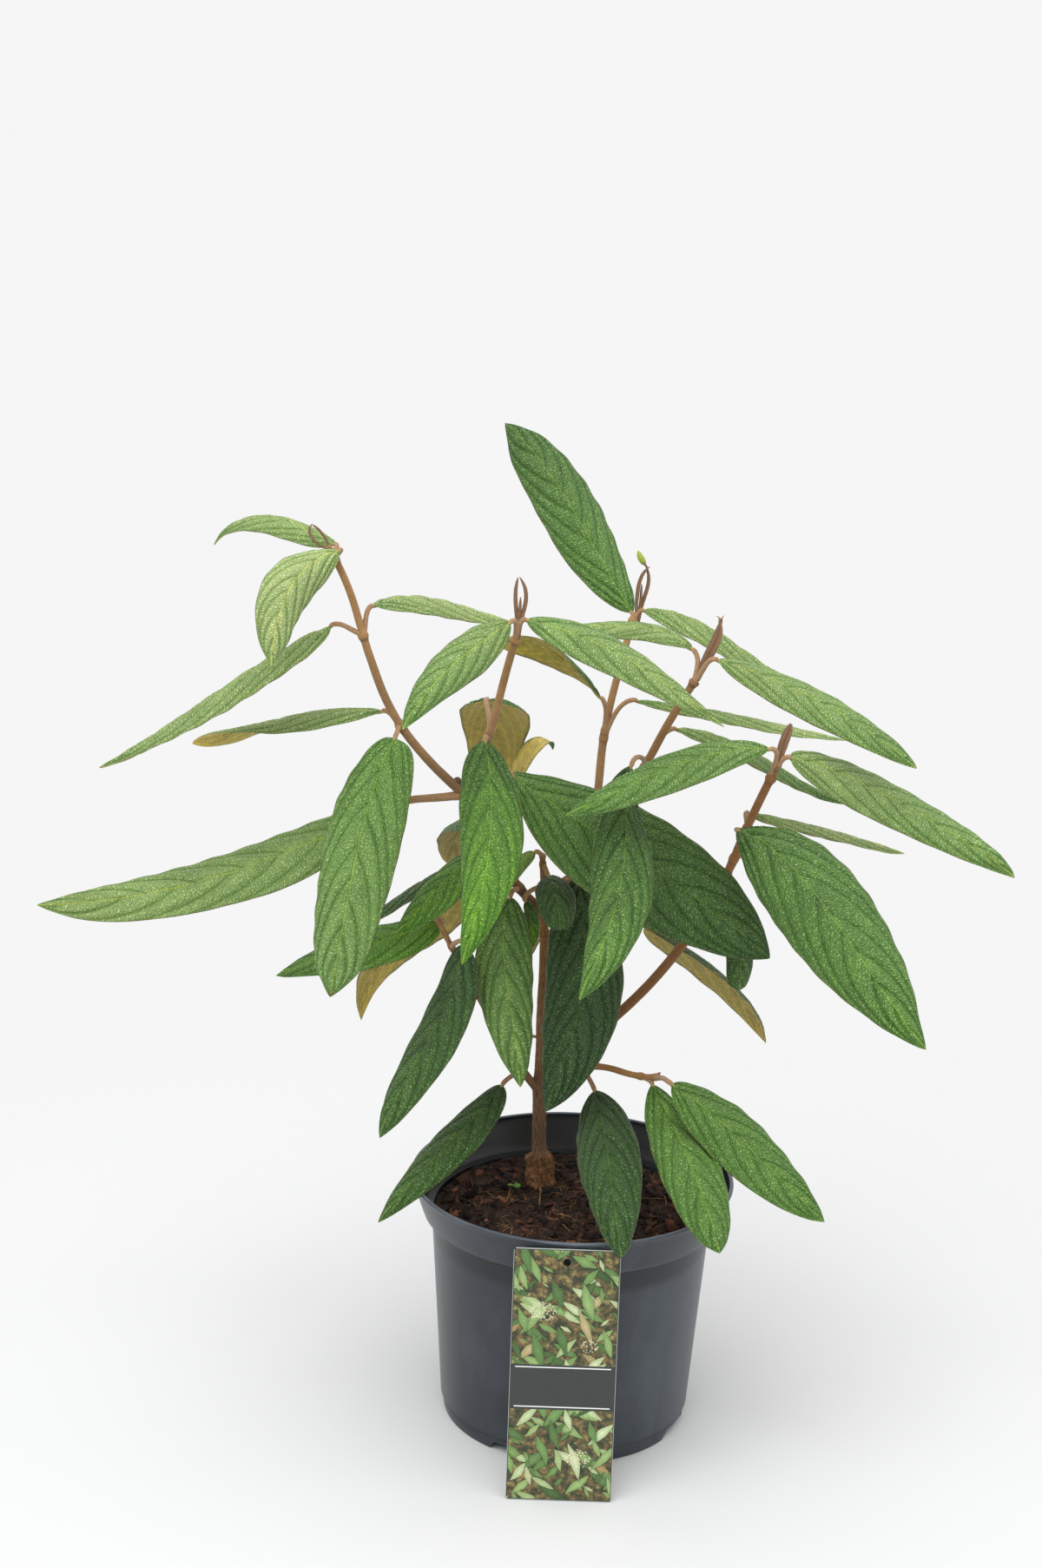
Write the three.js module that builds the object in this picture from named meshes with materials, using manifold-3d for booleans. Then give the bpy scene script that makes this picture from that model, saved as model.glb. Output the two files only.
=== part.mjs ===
// Potted leatherleaf viburnum: a young shrub with large wrinkled leaves in a round plastic nursery pot.
// Millimetres, +Z up. The origin is the middle of the pot's underside, on the ground.
import * as THREE from 'three';
import Module from 'manifold-3d';
import { mergeVertices } from 'three/addons/utils/BufferGeometryUtils.js';

// ---- driving dimensions -------------------------------------------------
const POT_HEIGHT = 177;          // ground to rim
const RIM_R = 113.5;             // outer radius of the rim
const COLLAR_R = 104.5;          // outer radius of the collar at its lower lip
const COLLAR_Z = 151;            // height of the collar's lower lip
const BODY_TOP_R = 98.5;         // outer radius of the body under the collar
const BODY_FOOT_R = 88.6;        // outer radius of the body above the foot
const FOOT_R = 86.2;             // outer radius of the foot ring on the ground
const FOOT_H = 11;               // height of the foot ring
const WALL = 1.8;                // wall of the pot
const NOTCHES = 4;               // drainage notches through the foot ring
const NOTCH_W = 34;              // width of a notch at the ground
const NOTCH_H = 6.5;             // height of a notch
const NOTCH_TURN = 66;           // turn of the first notch, degrees
const PAD_R = 22;                // central pad under the pot, flat on the ground
const SOIL_Z = 150;              // top of the soil at the wall
const SOIL_DOME = 3;             // how much higher the soil is in the middle
const GAP = 0.3;                 // clearance between neighbouring pieces
const FLARE_R = 11;              // root flare radius at the soil
const FLARE_H = 26;              // height over which the flare fades
const PETIOLE_R = 1.45;          // leaf stalk radius
const CUP = 25;                  // how much a half blade curls down from rib to margin, degrees
const BLADE_T = 1.1;             // blade thickness half way to the margin
const RIB_T = 2.2;               // blade thickness on the midrib
const CARD_W = 70.5;             // plant card: width
const CARD_H = 174;              //             length
const CARD_T = 0.9;              //             thickness
const CARD_FOOT_Y = -133.2;      //             where its lower edge stands, in front of the pot
const CARD_LEAN = 6.55;          //             lean back against the collar, degrees
const CARD_X = -4.4;             //             middle of its lower edge

// Limbs: name, parent, place along the parent (0..1), headings, rises (degrees, evenly spaced along
// the limb), length, radius at the start, radius at the end.  Heading 0 = +X, 90 = +Y.
const TRUNK_FOOT = [-21.9, 34.0, 152.2];
const LIMBS = [
  ['trunk', null, 0, [157, 344, 512], [85, 92, 86], 206, 5.6, 2.9],
  ['bough_left', 'trunk', 1, [-173, -166, -153, -143], [37, 58, 61, 55], 109, 3.4, 3.2],
  ['shoot_far_left', 'bough_left', 1, [-163, -172, -169, -167, -170], [40, 50, 69, 74, 58], 199, 3.2, 2.3],
  ['shoot_centre_left', 'bough_left', 0.95, [-64, -71, -45, -49], [62, 53, 75, 68], 138, 3, 2.5],
  ['bough_right', 'trunk', 1, [14, 27, 34, 48], [56, 49, 47, 59], 60, 3.4, 3.3],
  ['shoot_centre_right', 'bough_right', 1, [66, 82, 40, 46], [77, 70, 74, 69], 164, 3.1, 2.4],
  ['shoot_right', 'bough_right', 1, [-43, -57, -38, -25], [47, 53, 63, 59], 157, 3.5, 2.5],
  ['shoot_far_right', 'trunk', 0.388, [-4, -16, -16, -54, -46], [46, 47, 59, 66, 62], 309, 3.8, 2.7],
  ['bough_low_left', 'trunk', 0.35, [-160, -142, -152, -162], [50, 59, 60, 63], 170, 3, 1.8],
  ['twig_low_right', 'trunk', 0.375, [-38, -27, -43, -38], [45, 23, 0, 17], 108, 2.5, 2.1],
  ['shoot_inner', 'trunk', 1, [-108, -102, -99], [78, 74, 69], 47, 2.4, 2],
];

// Leaves: name, limb, place along it, stalk [length, heading, rise], then the blade's headings, rises
// and rolls (at the stalk, half way, at the tip), length, width, fold along the midrib (degrees), and the
// two exponents of its outline (blunt base, drawn tip), and how far the stalk first follows its limb.
const LEAVES = [
  ['far_left_1', 'shoot_far_left', 0.96, [12.3, 90, 33], [152, 158, 154], [18, 2, -65], [-16, -14, -14], 103, 30.3, 10, 0.51, 0.76, 0.5],
  ['far_left_2', 'shoot_far_left', 0.945, [11.7, -70, 43], [-146, -115, -118], [-12, -41, -91], [-28, -48, -20], 105, 38.2, 16, 0.59, 0.75, 0.5],
  ['far_left_3', 'shoot_far_left', 0.675, [22.7, -172, 16], [192, 190, 184], [-25, -35, -29], [2, 8, 11], 180, 51.5, 14, 0.49, 0.81, 0.1],
  ['far_left_4', 'shoot_far_left', 0.67, [21.8, 48, 68], [45, 37, 29], [15, -15, -16], [4, 8, 5], 122, 37.1, 15, 0.53, 0.72, 0.2],
  ['far_left_5', 'shoot_far_left', 0.33, [18, 152, 31], [170, 174, 173], [-3, -14, -22], [2, 0, 60], 136, 39.2, 5, 0.58, 0.73, 0.5],
  ['far_left_6', 'shoot_far_left', 0.34, [13.7, -103, -29], [-123, -107, -114], [-46, -60, -68], [-5, -7, -8], 181, 54.6, 5, 0.29, 0.45, 0],
  ['far_left_7', 'bough_left', 1, [56.8, -168, -9], [187, 185, 191], [-28, -18, 1], [-43, -38, -49], 245, 46.7, 5, 0.43, 0.65, 0],
  ['centre_left_1', 'shoot_centre_left', 0.99, [23.7, -102, 38], [-133, -136, -147], [-21, -30, -62], [-43, -42, -37], 109, 32.2, 12, 0.55, 0.84, 0.5],
  ['centre_left_2', 'shoot_centre_left', 0.985, [16.6, -28, 62], [-12, -17, -18], [-8, -25, -33], [37, 30, 16], 147, 33.2, 5, 0.58, 0.96, 0.5],
  ['centre_left_3', 'shoot_centre_left', 0.445, [13.8, -96, 5], [-72, -97, -132], [-54, -55, -67], [-9, 2, -20], 155, 46.5, 14, 0.45, 0.84, 0],
  ['centre_left_4', 'shoot_centre_left', 0.48, [33.2, 95, 29], [72, 98, 104], [-10, -70, -120], [-4, 0, 4], 134, 50, 6, 0.26, 1, 0.5],
  ['centre_left_5', 'shoot_centre_left', 0.19, [43.9, 46, -21], [19, 44, 67], [85, 35, -61], [198, 192, 190], 55, 17.6, 12, 0.41, 0.8, 0.5],
  ['centre_right_1', 'shoot_centre_right', 0.97, [6.3, 101, 59], [133, 142, 133], [43, 49, 24], [-31, -35, -48], 177, 49.6, 12, 0.67, 0.66, 0.5],
  ['centre_right_2', 'shoot_centre_right', 0.97, [11, 2, 50], [-3, 0, 7], [4, -31, -26], [5, 7, 3], 123, 38.5, 16, 0.52, 0.77, 0.5],
  ['centre_right_3', 'shoot_centre_right', 0.48, [26.3, -131, 78], [175, 179, 190], [55, 27, -17], [6, 40, 73], 89, 27.9, 10, 0.64, 0.7, 1],
  ['centre_right_4', 'shoot_centre_right', 0.45, [35.8, 8, 51], [13, 11, 11], [-6, -12, -13], [-10, -9, -7], 160, 36.2, 12, 0.54, 0.78, 1.3],
  ['right_1', 'shoot_right', 1, [22.2, 109, 71], [160, 164, 170], [36, -1, -3], [-11, -19, -13], 91, 25.8, 5, 0.56, 0.72, 0.8],
  ['right_2', 'shoot_right', 0.995, [23.7, -26, 47], [7, -10, -44], [-16, -25, -29], [30, 28, 26], 153, 37.5, 5, 0.61, 0.84, 0.5],
  ['right_3', 'shoot_right', 0.56, [29.7, 14, 50], [16, 10, 7], [-2, -30, -18], [-2, -5, -6], 140, 39, 14, 0.47, 0.79, 1],
  ['right_4', 'shoot_right', 0.525, [32.1, -109, 14], [-101, -102, -170], [-51, -49, -71], [-53, -6, -42], 169, 51, 21, 0.65, 0.8, 1.6],
  ['far_right_1', 'shoot_far_right', 0.96, [25.6, -105, 63], [-175, -169, -157], [3, -22, -19], [-34, -29, -26], 144, 36.4, 5, 0.7, 0.85, 0.7],
  ['far_right_2', 'shoot_far_right', 0.96, [21.3, -33, 51], [21, -3, -77], [-14, -27, -9], [43, 35, 26], 186, 42.5, 5, 0.55, 0.95, 0.5],
  ['far_right_3', 'shoot_far_right', 0.805, [14.8, -116, 23], [-62, -47, -28], [8, -38, -42], [39, 43, 58], 208, 68.6, 14, 0.68, 0.87, 0.5],
  ['far_right_4', 'shoot_far_right', 0.82, [12.2, 82, 47], [24, 20, 14], [-12, -17, -20], [-5, -9, -3], 127, 32.1, 14, 0.49, 0.76, 0.5],
  ['middle_1', 'shoot_centre_left', 0.17, [41.6, -52, 13], [24, -8, -23], [-39, -30, -36], [38, 60, 43], 216, 76.6, 5, 0.6, 0.67, 0.5],
  ['middle_2', 'bough_right', 0.43, [25.8, -68, 28], [-62, -102, -134], [-73, -55, -59], [14, -1, -16], 168, 60.9, 13, 0.61, 0.77, 0.2],
  ['low_left_1', 'bough_left', 0.235, [19.1, -109, -4], [-117, -66, -59], [-54, -63, -82], [5, 12, 22], 133, 44.8, 14, 0.53, 0.79, 0.2],
  ['low_left_2', 'bough_low_left', 0.83, [17, -59, 20], [-134, -146, -138], [-82, -57, -67], [-11, -10, -15], 143, 43.3, 5, 0.54, 0.74, 0.5],
  ['low_left_3', 'bough_left', 0.53, [21.5, -113, 28], [-157, -148, -148], [-32, -41, -39], [-13, -21, -14], 88, 32, 9, 0.54, 0.68, 0.5],
  ['low_left_4', 'bough_low_left', 0.975, [13.8, 77, -32], [179, 175, 169], [-23, -19, -32], [-29, -41, -32], 124, 35.5, 5, 0.4, 0.71, 0],
  ['low_left_5', 'bough_left', 0.555, [30.3, 175, -61], [162, 146, 137], [-50, -42, -99], [14, 19, 10], 159, 46.8, 13, 0.43, 0.9, 0.5],
  ['low_left_6', 'bough_left', 0.66, [17, 149, -66], [165, 164, 162], [-23, -38, -44], [4, 3, 2], 121, 35.6, 14, 0.51, 0.72, 0.5],
  ['inner_1', 'shoot_inner', 0.985, [8.1, -143, 30], [-155, -162, -173], [-11, -60, -52], [-29, -21, -15], 43, 13.8, 12, 0.4, 0.78, 0.5],
  ['inner_2', 'shoot_inner', 0.84, [9.6, -47, -49], [-82, -78, -79], [19, -31, -62], [8, 6, 5], 57, 29, 9, 0.45, 0.42, 0.5],
  ['inner_3', 'shoot_inner', 0.455, [17, -154, -36], [-47, -39, -38], [-53, -79, -105], [63, 67, 63], 36, 12.1, 15, 0.47, 0.76, 0.5],
  ['low_right_1', 'bough_right', 0.835, [66.9, -15, -46], [23, 23, 20], [-30, -42, -67], [-13, -15, -17], 143, 43.7, 5, 0.47, 0.81, 0.5],
  ['low_right_2', 'shoot_far_right', 0.69, [32.4, 58, -66], [-49, -67, -58], [-56, -77, -97], [11, 16, 13], 56, 20.3, 11, 0.56, 0.3, 0.5],
  ['skirt_1', 'bough_low_left', 0.145, [21.3, -132, -18], [-135, -138, -142], [-37, -31, -45], [-10, -17, -11], 132, 34.1, 9, 0.49, 0.79, 0],
  ['skirt_2', 'twig_low_right', 0.38, [25.6, -71, -17], [-81, -84, -78], [-9, -24, -44], [14, 14, 8], 150, 47.5, 14, 0.52, 0.72, 0],
  ['skirt_3', 'twig_low_right', 0.85, [11.4, -45, -11], [-66, -68, -68], [-28, -31, -51], [11, 16, 11], 136, 46.4, 11, 0.65, 0.64, 0.5],
  ['skirt_4', 'twig_low_right', 0.97, [33, -73, 13], [-5, -24, -33], [-32, -36, -31], [34, 33, 23], 136, 45.9, 5, 0.56, 0.77, 0.5],
  ['back_1', 'bough_right', 0.45, [26, 70, 20], [70, 74, 78], [15, -30, -55], [0, 0, 0], 150, 44, 16, 0.5, 0.75, 0.5],
  ['back_2', 'trunk', 0.93, [24, 110, 10], [100, 104, 108], [-5, -45, -65], [0, 0, 0], 140, 42, 17, 0.5, 0.75, 0.5],
  ['back_3', 'bough_left', 0.6, [28, 108, 8], [104, 102, 100], [5, -30, -50], [0, 0, 0], 140, 42, 16, 0.5, 0.75, 0.5],
  ['back_4', 'shoot_far_right', 0.735, [24, 45, -5], [46, 42, 38], [-8, -35, -55], [0, 0, 0], 125, 38, 16, 0.5, 0.75, 0.5],
];

// ---- small helpers --------------------------------------------------------
const rad = (d) => d * Math.PI / 180;
const V = (x, y, z) => new THREE.Vector3(x, y, z);
const dirOf = (az, rise) => V(Math.cos(rad(rise)) * Math.cos(rad(az)), Math.cos(rad(rise)) * Math.sin(rad(az)), Math.sin(rad(rise)));
// value of an evenly spaced list at t, straight between its entries
const along = (list, t) => {
  const s = Math.min(Math.max(t, 0), 1) * (list.length - 1), i = Math.min(Math.floor(s), list.length - 2);
  return list[i] + (list[i + 1] - list[i]) * (s - i);
};
// value of a three-entry list at t on the parabola through them
const bend = ([a, b, c], t) => a * 2 * (t - 0.5) * (t - 1) - b * 4 * t * (t - 1) + c * 2 * t * (t - 0.5);
const gray = (r, g, b) => new THREE.Color().setRGB(r / 255, g / 255, b / 255, THREE.SRGBColorSpace);
const mat = (color, roughness) => new THREE.MeshStandardMaterial({ color, roughness, metalness: 0 });

// closed body from rings of equal size, with both ends closed by a fan
// mirrored: the second half of each ring is split the other way, so that a thin blade's two sides match
const loft = (rings, tip, mirrored = false) => {
  const n = rings[0].length, pos = [], idx = [];
  rings.forEach((r) => r.forEach((p) => pos.push(p.x, p.y, p.z)));
  for (let i = 0; i + 1 < rings.length; i++) {
    for (let j = 0; j < n; j++) {
      const a = i * n + j, b = i * n + (j + 1) % n;
      if (mirrored && j >= n / 2) idx.push(a, b, a + n, b, b + n, a + n);
      else idx.push(a, b, b + n, a, b + n, a + n);
    }
  }
  const cap = (ring, base, centre, flip) => {
    const c = centre || ring.reduce((s, p) => s.add(p), V(0, 0, 0)).divideScalar(n);
    const k = pos.length / 3;
    pos.push(c.x, c.y, c.z);
    for (let j = 0; j < n; j++) {
      const a = base + j, b = base + (j + 1) % n;
      if (flip) idx.push(k, a, b); else idx.push(k, b, a);
    }
  };
  cap(rings[0], 0, null, false);
  cap(rings[rings.length - 1], (rings.length - 1) * n, tip, true);
  const g = new THREE.BufferGeometry();
  g.setAttribute('position', new THREE.Float32BufferAttribute(pos, 3));
  g.setIndex(idx);
  g.computeVertexNormals();
  return g;
};

// ---- limbs ------------------------------------------------------------------
const limbs = {};
const STEPS = 60;
for (const [name, parent, at, azs, rises, length, r0, r1] of LIMBS) {
  const start = parent ? pointOn(limbs[parent], at) : V(...TRUNK_FOOT);
  const pts = [start.clone()], p = start.clone();
  for (let i = 0; i < STEPS; i++) {
    const t = (i + 0.5) / STEPS;
    p.addScaledVector(dirOf(along(azs, t), along(rises, t)), length / STEPS);
    pts.push(p.clone());
  }
  limbs[name] = { name, parent, pts, length, r0, r1, from: 0 };
}
function pointOn(limb, t) {
  const s = Math.min(Math.max(t, 0), 1) * STEPS, i = Math.min(Math.floor(s), STEPS - 1);
  return limb.pts[i].clone().lerp(limb.pts[i + 1], s - i);
}
function tangentOn(limb, t) {
  return pointOn(limb, Math.min(t + 0.02, 1)).sub(pointOn(limb, Math.max(t - 0.02, 0))).normalize();
}
const radiusOn = (limb, t) => {
  let r = limb.r0 + (limb.r1 - limb.r0) * t;
  if (!limb.parent) {
    const h = t * limb.length;
    r += (FLARE_R - limb.r0) * Math.exp(-((h / FLARE_H * 1.7) ** 2));
    if (t > 0.42) r -= 0.9 * Math.min((t - 0.42) / 0.1, 1) * (1 - t);
  }
  return r;
};
// distance from a ball to the surface of a limb's drawn part
const spare = (p, r, limb) => {
  let best = 1e9;
  for (let i = 0; i <= STEPS; i++) {
    const t = i / STEPS;
    if (t < limb.from) continue;
    best = Math.min(best, limb.pts[i].distanceTo(p) - r - radiusOn(limb, t) * 1.02);
  }
  return best;
};
// a limb starts where it is clear of every limb placed before it
const placed = [];
for (const limb of Object.values(limbs)) {
  if (limb.parent) {
    for (let t = 0; t < 0.6; t += 0.004) {
      const p = pointOn(limb, t), r = radiusOn(limb, t);
      if (placed.every((o) => spare(p, r, o) > GAP)) { limb.from = t; break; }
    }
  }
  placed.push(limb);
}
// tapering tube with rounded ends; the trunk has a flat cut at the soil
const limbBody = (limb, sides = 7) => {
  const rings = [];
  let side = V(0.99, 0.12, 0.05);   // carried from ring to ring, so that the tube doesn't twist
  const count = Math.max(6, Math.round(limb.length / 28));
  const ring = (c, T, r) => {
    const a = side.clone().addScaledVector(T, -side.dot(T)).normalize();
    side = a.clone();
    const b = new THREE.Vector3().crossVectors(T, a);
    return Array.from({ length: sides }, (_, j) => {
      const w = 2 * Math.PI * j / sides;
      return c.clone().addScaledVector(a, r * Math.cos(w)).addScaledVector(b, r * Math.sin(w));
    });
  };
  const t0 = limb.from, T0 = tangentOn(limb, t0 + 0.01), T1 = tangentOn(limb, 0.99), r1 = radiusOn(limb, 1);
  if (limb.parent) {
    const c = pointOn(limb, t0), r = radiusOn(limb, t0);
    rings.push(ring(c.clone().addScaledVector(T0, -0.8 * r), T0, 0.55 * r));
  }
  for (let i = 0; i <= count; i++) {
    const s = limb.parent ? i / count : (i / count) ** 1.35;
    const t = t0 + (1 - t0) * s;
    const T = !limb.parent && i === 0 ? V(0, 0, 1) : tangentOn(limb, t);
    rings.push(ring(pointOn(limb, t), T, radiusOn(limb, t)));
  }
  const end = pointOn(limb, 1);
  return loft(rings, end.clone().addScaledVector(T1, 0.75 * r1));
};

// ---- leaves -------------------------------------------------------------------
// half width of a blade at t: blunt at the stalk, long drawn to the tip
const profile = (t, p, q) => {
  const m = p / (p + q);
  return (Math.max(t, 1e-9) ** p * Math.max(1 - t, 0) ** q) / (m ** p * (1 - m) ** q);
};
// place of a point k (0 rib .. 1 margin) of a half blade, across and down, per unit of half width
const halfBlade = (k, fold) => {
  let x = 0, y = 0; const n = 6;
  for (let i = 0; i < n; i++) {
    const s = (i + 0.5) / n * k, a = rad(fold + CUP * s);
    x += Math.cos(a) * k / n; y -= Math.sin(a) * k / n;
  }
  return [x, y];
};
const STATIONS = [0.05, 0.18, 0.36, 0.55, 0.74, 0.9];
const leafBody = ([name, limbName, at, stalk, azs, rises, rolls, length, width, fold, pe, qe, lift = 0.5]) => {
  const limb = limbs[limbName], F = pointOn(limb, at);
  const D = dirOf(stalk[1], stalk[2]), B = F.clone().addScaledVector(D, stalk[0]);
  const frameAt = (t) => {
    const az = bend(azs, t), e = bend(rises, t), r = rad(bend(rolls, t));
    const T = dirOf(az, e), S = V(-Math.sin(rad(az)), Math.cos(rad(az)), 0), N = new THREE.Vector3().crossVectors(T, S);
    const S2 = S.clone().multiplyScalar(Math.cos(r)).addScaledVector(N, Math.sin(r));
    const N2 = S.clone().multiplyScalar(-Math.sin(r)).addScaledVector(N, Math.cos(r));
    return { T, S: S2, N: N2 };
  };
  const rings = [];
  // stalk: a smooth curve from the limb to the blade, begun clear of the limbs
  const f0 = frameAt(0), L = stalk[0];
  const out = D.clone().addScaledVector(tangentOn(limb, at), lift).normalize();
  const curve = new THREE.CubicBezierCurve3(F, F.clone().addScaledVector(out, 0.45 * L), B.clone().addScaledVector(f0.T, -0.35 * L), B);
  let s0 = 0;
  for (let s = 0; s < 0.95; s += 0.01) {
    if (placed.every((o) => spare(curve.getPoint(s), PETIOLE_R, o) > GAP)) { s0 = s; break; }
    s0 = s;
  }
  const rr = (c, S, N, a, b) => Array.from({ length: 8 }, (_, j) => {
    const w = 2 * Math.PI * j / 8;
    return c.clone().addScaledVector(S, a * Math.cos(w)).addScaledVector(N, b * Math.sin(w));
  });
  const stalkSteps = L > 40 ? 5 : L > 18 ? 3 : 2;
  for (let i = 0; i < stalkSteps; i++) {
    const s = s0 + (0.97 - s0) * i / (stalkSteps - 0.5);
    const T = curve.getTangent(s), S = f0.S.clone().addScaledVector(T, -f0.S.dot(T)).normalize();
    const N = new THREE.Vector3().crossVectors(T, S);
    rings.push(rr(curve.getPoint(s), S, N, PETIOLE_R, PETIOLE_R));
  }
  // blade
  const n = 48, mid = [B.clone()], p = B.clone();
  for (let i = 0; i < n; i++) {
    p.addScaledVector(dirOf(bend(azs, (i + 0.5) / n), bend(rises, (i + 0.5) / n)), length / n);
    mid.push(p.clone());
  }
  const midAt = (t) => { const s = t * n, i = Math.min(Math.floor(s), n - 1); return mid[i].clone().lerp(mid[i + 1], s - i); };
  const [xh, yh] = halfBlade(0.5, fold), [xm, ym] = halfBlade(1, fold);
  for (const t of STATIONS) {
    const c = midAt(t), { S, N } = frameAt(t), w = width / 2 * profile(t, pe, qe);
    const thick = 1 - 0.45 * t, th = BLADE_T * thick / 2, tm = RIB_T * thick / 2;
    const at2 = (x, y) => c.clone().addScaledVector(S, x).addScaledVector(N, y);
    rings.push([
      at2(xm * w, ym * w), at2(xh * w, yh * w + th), at2(0, tm * 0.6), at2(-xh * w, yh * w + th),
      at2(-xm * w, ym * w), at2(-xh * w, yh * w - th), at2(0, -tm * 1.4), at2(xh * w, yh * w - th),
    ]);
  }
  return loft(rings, mid[n], true);
};

// ---- pot, soil and card -----------------------------------------------------------
const wasm = await Module();
wasm.setup();
const toSolid = (geometry) => {
  const g = geometry.clone();
  g.deleteAttribute('normal'); g.deleteAttribute('uv');
  const m = mergeVertices(g, 1e-4);
  return new wasm.Manifold(new wasm.Mesh({ numProp: 3, vertProperties: new Float32Array(m.attributes.position.array), triVerts: new Uint32Array(m.index.array) }));
};
const toGeometry = (solid) => {
  const m = solid.getMesh(), g = new THREE.BufferGeometry();
  g.setAttribute('position', new THREE.BufferAttribute(new Float32Array(m.vertProperties), 3));
  g.setIndex(new THREE.BufferAttribute(new Uint32Array(m.triVerts), 1));
  g.computeVertexNormals();
  return g;
};
const bodyR = (z) => BODY_FOOT_R + (BODY_TOP_R - BODY_FOOT_R) * (z - FOOT_H) / (COLLAR_Z - FOOT_H);
const collarR = (z) => COLLAR_R + (RIM_R - COLLAR_R) * (z - COLLAR_Z) / (POT_HEIGHT - COLLAR_Z);
const potGeometry = () => {
  const FLOOR = 7.5;   // inside of the raised bottom
  const profilePts = [
    [0, 0], [PAD_R, 0], [PAD_R + 5, 4.5], [FOOT_R - 9, 4.5], [FOOT_R - 5, 0], [FOOT_R, 0],
    [FOOT_R + 1.6, FOOT_H - 0.8], [BODY_FOOT_R, FOOT_H],
    [BODY_TOP_R, COLLAR_Z - 0.8], [COLLAR_R - 0.6, COLLAR_Z - 0.4], [COLLAR_R, COLLAR_Z],
    [collarR(POT_HEIGHT - 2.4), POT_HEIGHT - 2.4], [RIM_R, POT_HEIGHT - 1.8], [RIM_R, POT_HEIGHT - 0.4], [RIM_R - 0.5, POT_HEIGHT],
    [RIM_R - WALL - 0.4, POT_HEIGHT], [collarR(POT_HEIGHT - 2) - WALL, POT_HEIGHT - 2],
    [COLLAR_R - WALL, COLLAR_Z + 1.4], [BODY_TOP_R - WALL, COLLAR_Z + 0.2],
    [bodyR(14) - WALL - 0.4, 14], [bodyR(10) - WALL - 4, FLOOR + 1.2], [0, FLOOR],
  ];
  const lathe = new THREE.LatheGeometry(profilePts.map(([r, z]) => new THREE.Vector2(r, z)), 36);
  lathe.rotateX(Math.PI / 2);
  let solid = toSolid(lathe);
  if (solid.volume() < 0) throw new Error('pot profile runs the wrong way');
  for (let i = 0; i < NOTCHES; i++) {
    const s = new THREE.Shape();
    s.moveTo(-NOTCH_W / 2 - 4, -2); s.lineTo(NOTCH_W / 2 + 4, -2); s.lineTo(NOTCH_W / 2 - 3, NOTCH_H); s.lineTo(-NOTCH_W / 2 + 3, NOTCH_H); s.closePath();
    const cut = new THREE.ExtrudeGeometry(s, { depth: 22, bevelEnabled: false });
    cut.rotateX(Math.PI / 2);                 // shape's y becomes z, depth runs along -y
    cut.translate(0, -(FOOT_R - 12) , 0);
    cut.rotateZ(rad(NOTCH_TURN + 360 * i / NOTCHES));
    solid = solid.subtract(toSolid(cut));
  }
  // drain holes through the raised bottom
  for (let i = 0; i < 4; i++) {
    const hole = new THREE.CylinderGeometry(5, 5, 20, 12);
    hole.rotateX(Math.PI / 2);
    hole.translate(52, 0, 6);
    hole.rotateZ(rad(45 + 90 * i));
    solid = solid.subtract(toSolid(hole));
  }
  return toGeometry(solid);
};
// uneven height of the soil's top
const soilTop = (x, y) => {
  const r = Math.hypot(x, y);
  return SOIL_Z + SOIL_DOME * (1 - (r / 97) ** 2) + 0.9 * Math.sin(x * 0.071 + 1.3) * Math.cos(y * 0.083 + 0.4) + 0.6 * Math.sin(x * 0.17 - y * 0.13);
};
const soilGeometry = () => {
  const n = 30, pos = [], idx = [], R = (z) => bodyR(z) - WALL - 0.6;
  const rows = [];
  const bottomZ = 9.4;
  const addRing = (r, zf) => { const k = pos.length / 3; for (let j = 0; j < n; j++) { const w = 2 * Math.PI * j / n, x = r * Math.cos(w), y = r * Math.sin(w); pos.push(x, y, zf(x, y)); } rows.push(k); };
  addRing(R(14) - 5.2, () => bottomZ);
  addRing(R(15) - 0.6, () => 15);
  addRing(R(146), () => 146);
  const flat = 14;      // level ground under the trunk, so its foot is cut flat
  const topZ = (x, y) => { const d = Math.hypot(x - TRUNK_FOOT[0], y - TRUNK_FOOT[1]); return d < flat + 4 ? Math.min(soilTop(x, y), TRUNK_FOOT[2] - GAP) : soilTop(x, y); };
  for (const f of [1, 0.8, 0.58, 0.36, 0.16]) addRing(R(150) * f - (f === 1 ? 0.1 : 0), topZ);
  for (let i = 0; i + 1 < rows.length; i++) for (let j = 0; j < n; j++) {
    const a = rows[i] + j, b = rows[i] + (j + 1) % n, c = rows[i + 1] + (j + 1) % n, d = rows[i + 1] + j;
    idx.push(a, b, c, a, c, d);
  }
  const c0 = pos.length / 3; pos.push(0, 0, bottomZ);
  const c1 = pos.length / 3; pos.push(0, 0, topZ(0, 0));
  for (let j = 0; j < n; j++) {
    idx.push(c0, rows[0] + (j + 1) % n, rows[0] + j);
    const last = rows[rows.length - 1];
    idx.push(c1, last + j, last + (j + 1) % n);
  }
  const g = new THREE.BufferGeometry();
  g.setAttribute('position', new THREE.Float32BufferAttribute(pos, 3));
  g.setIndex(idx);
  // cut a level seat for the trunk's foot
  const seat = new THREE.CylinderGeometry(FLARE_R + 3, FLARE_R + 3, 20, 20);
  seat.rotateX(Math.PI / 2);
  seat.translate(TRUNK_FOOT[0], TRUNK_FOOT[1], TRUNK_FOOT[2] - GAP + 10);
  return toGeometry(toSolid(g).subtract(toSolid(seat)));
};
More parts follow.
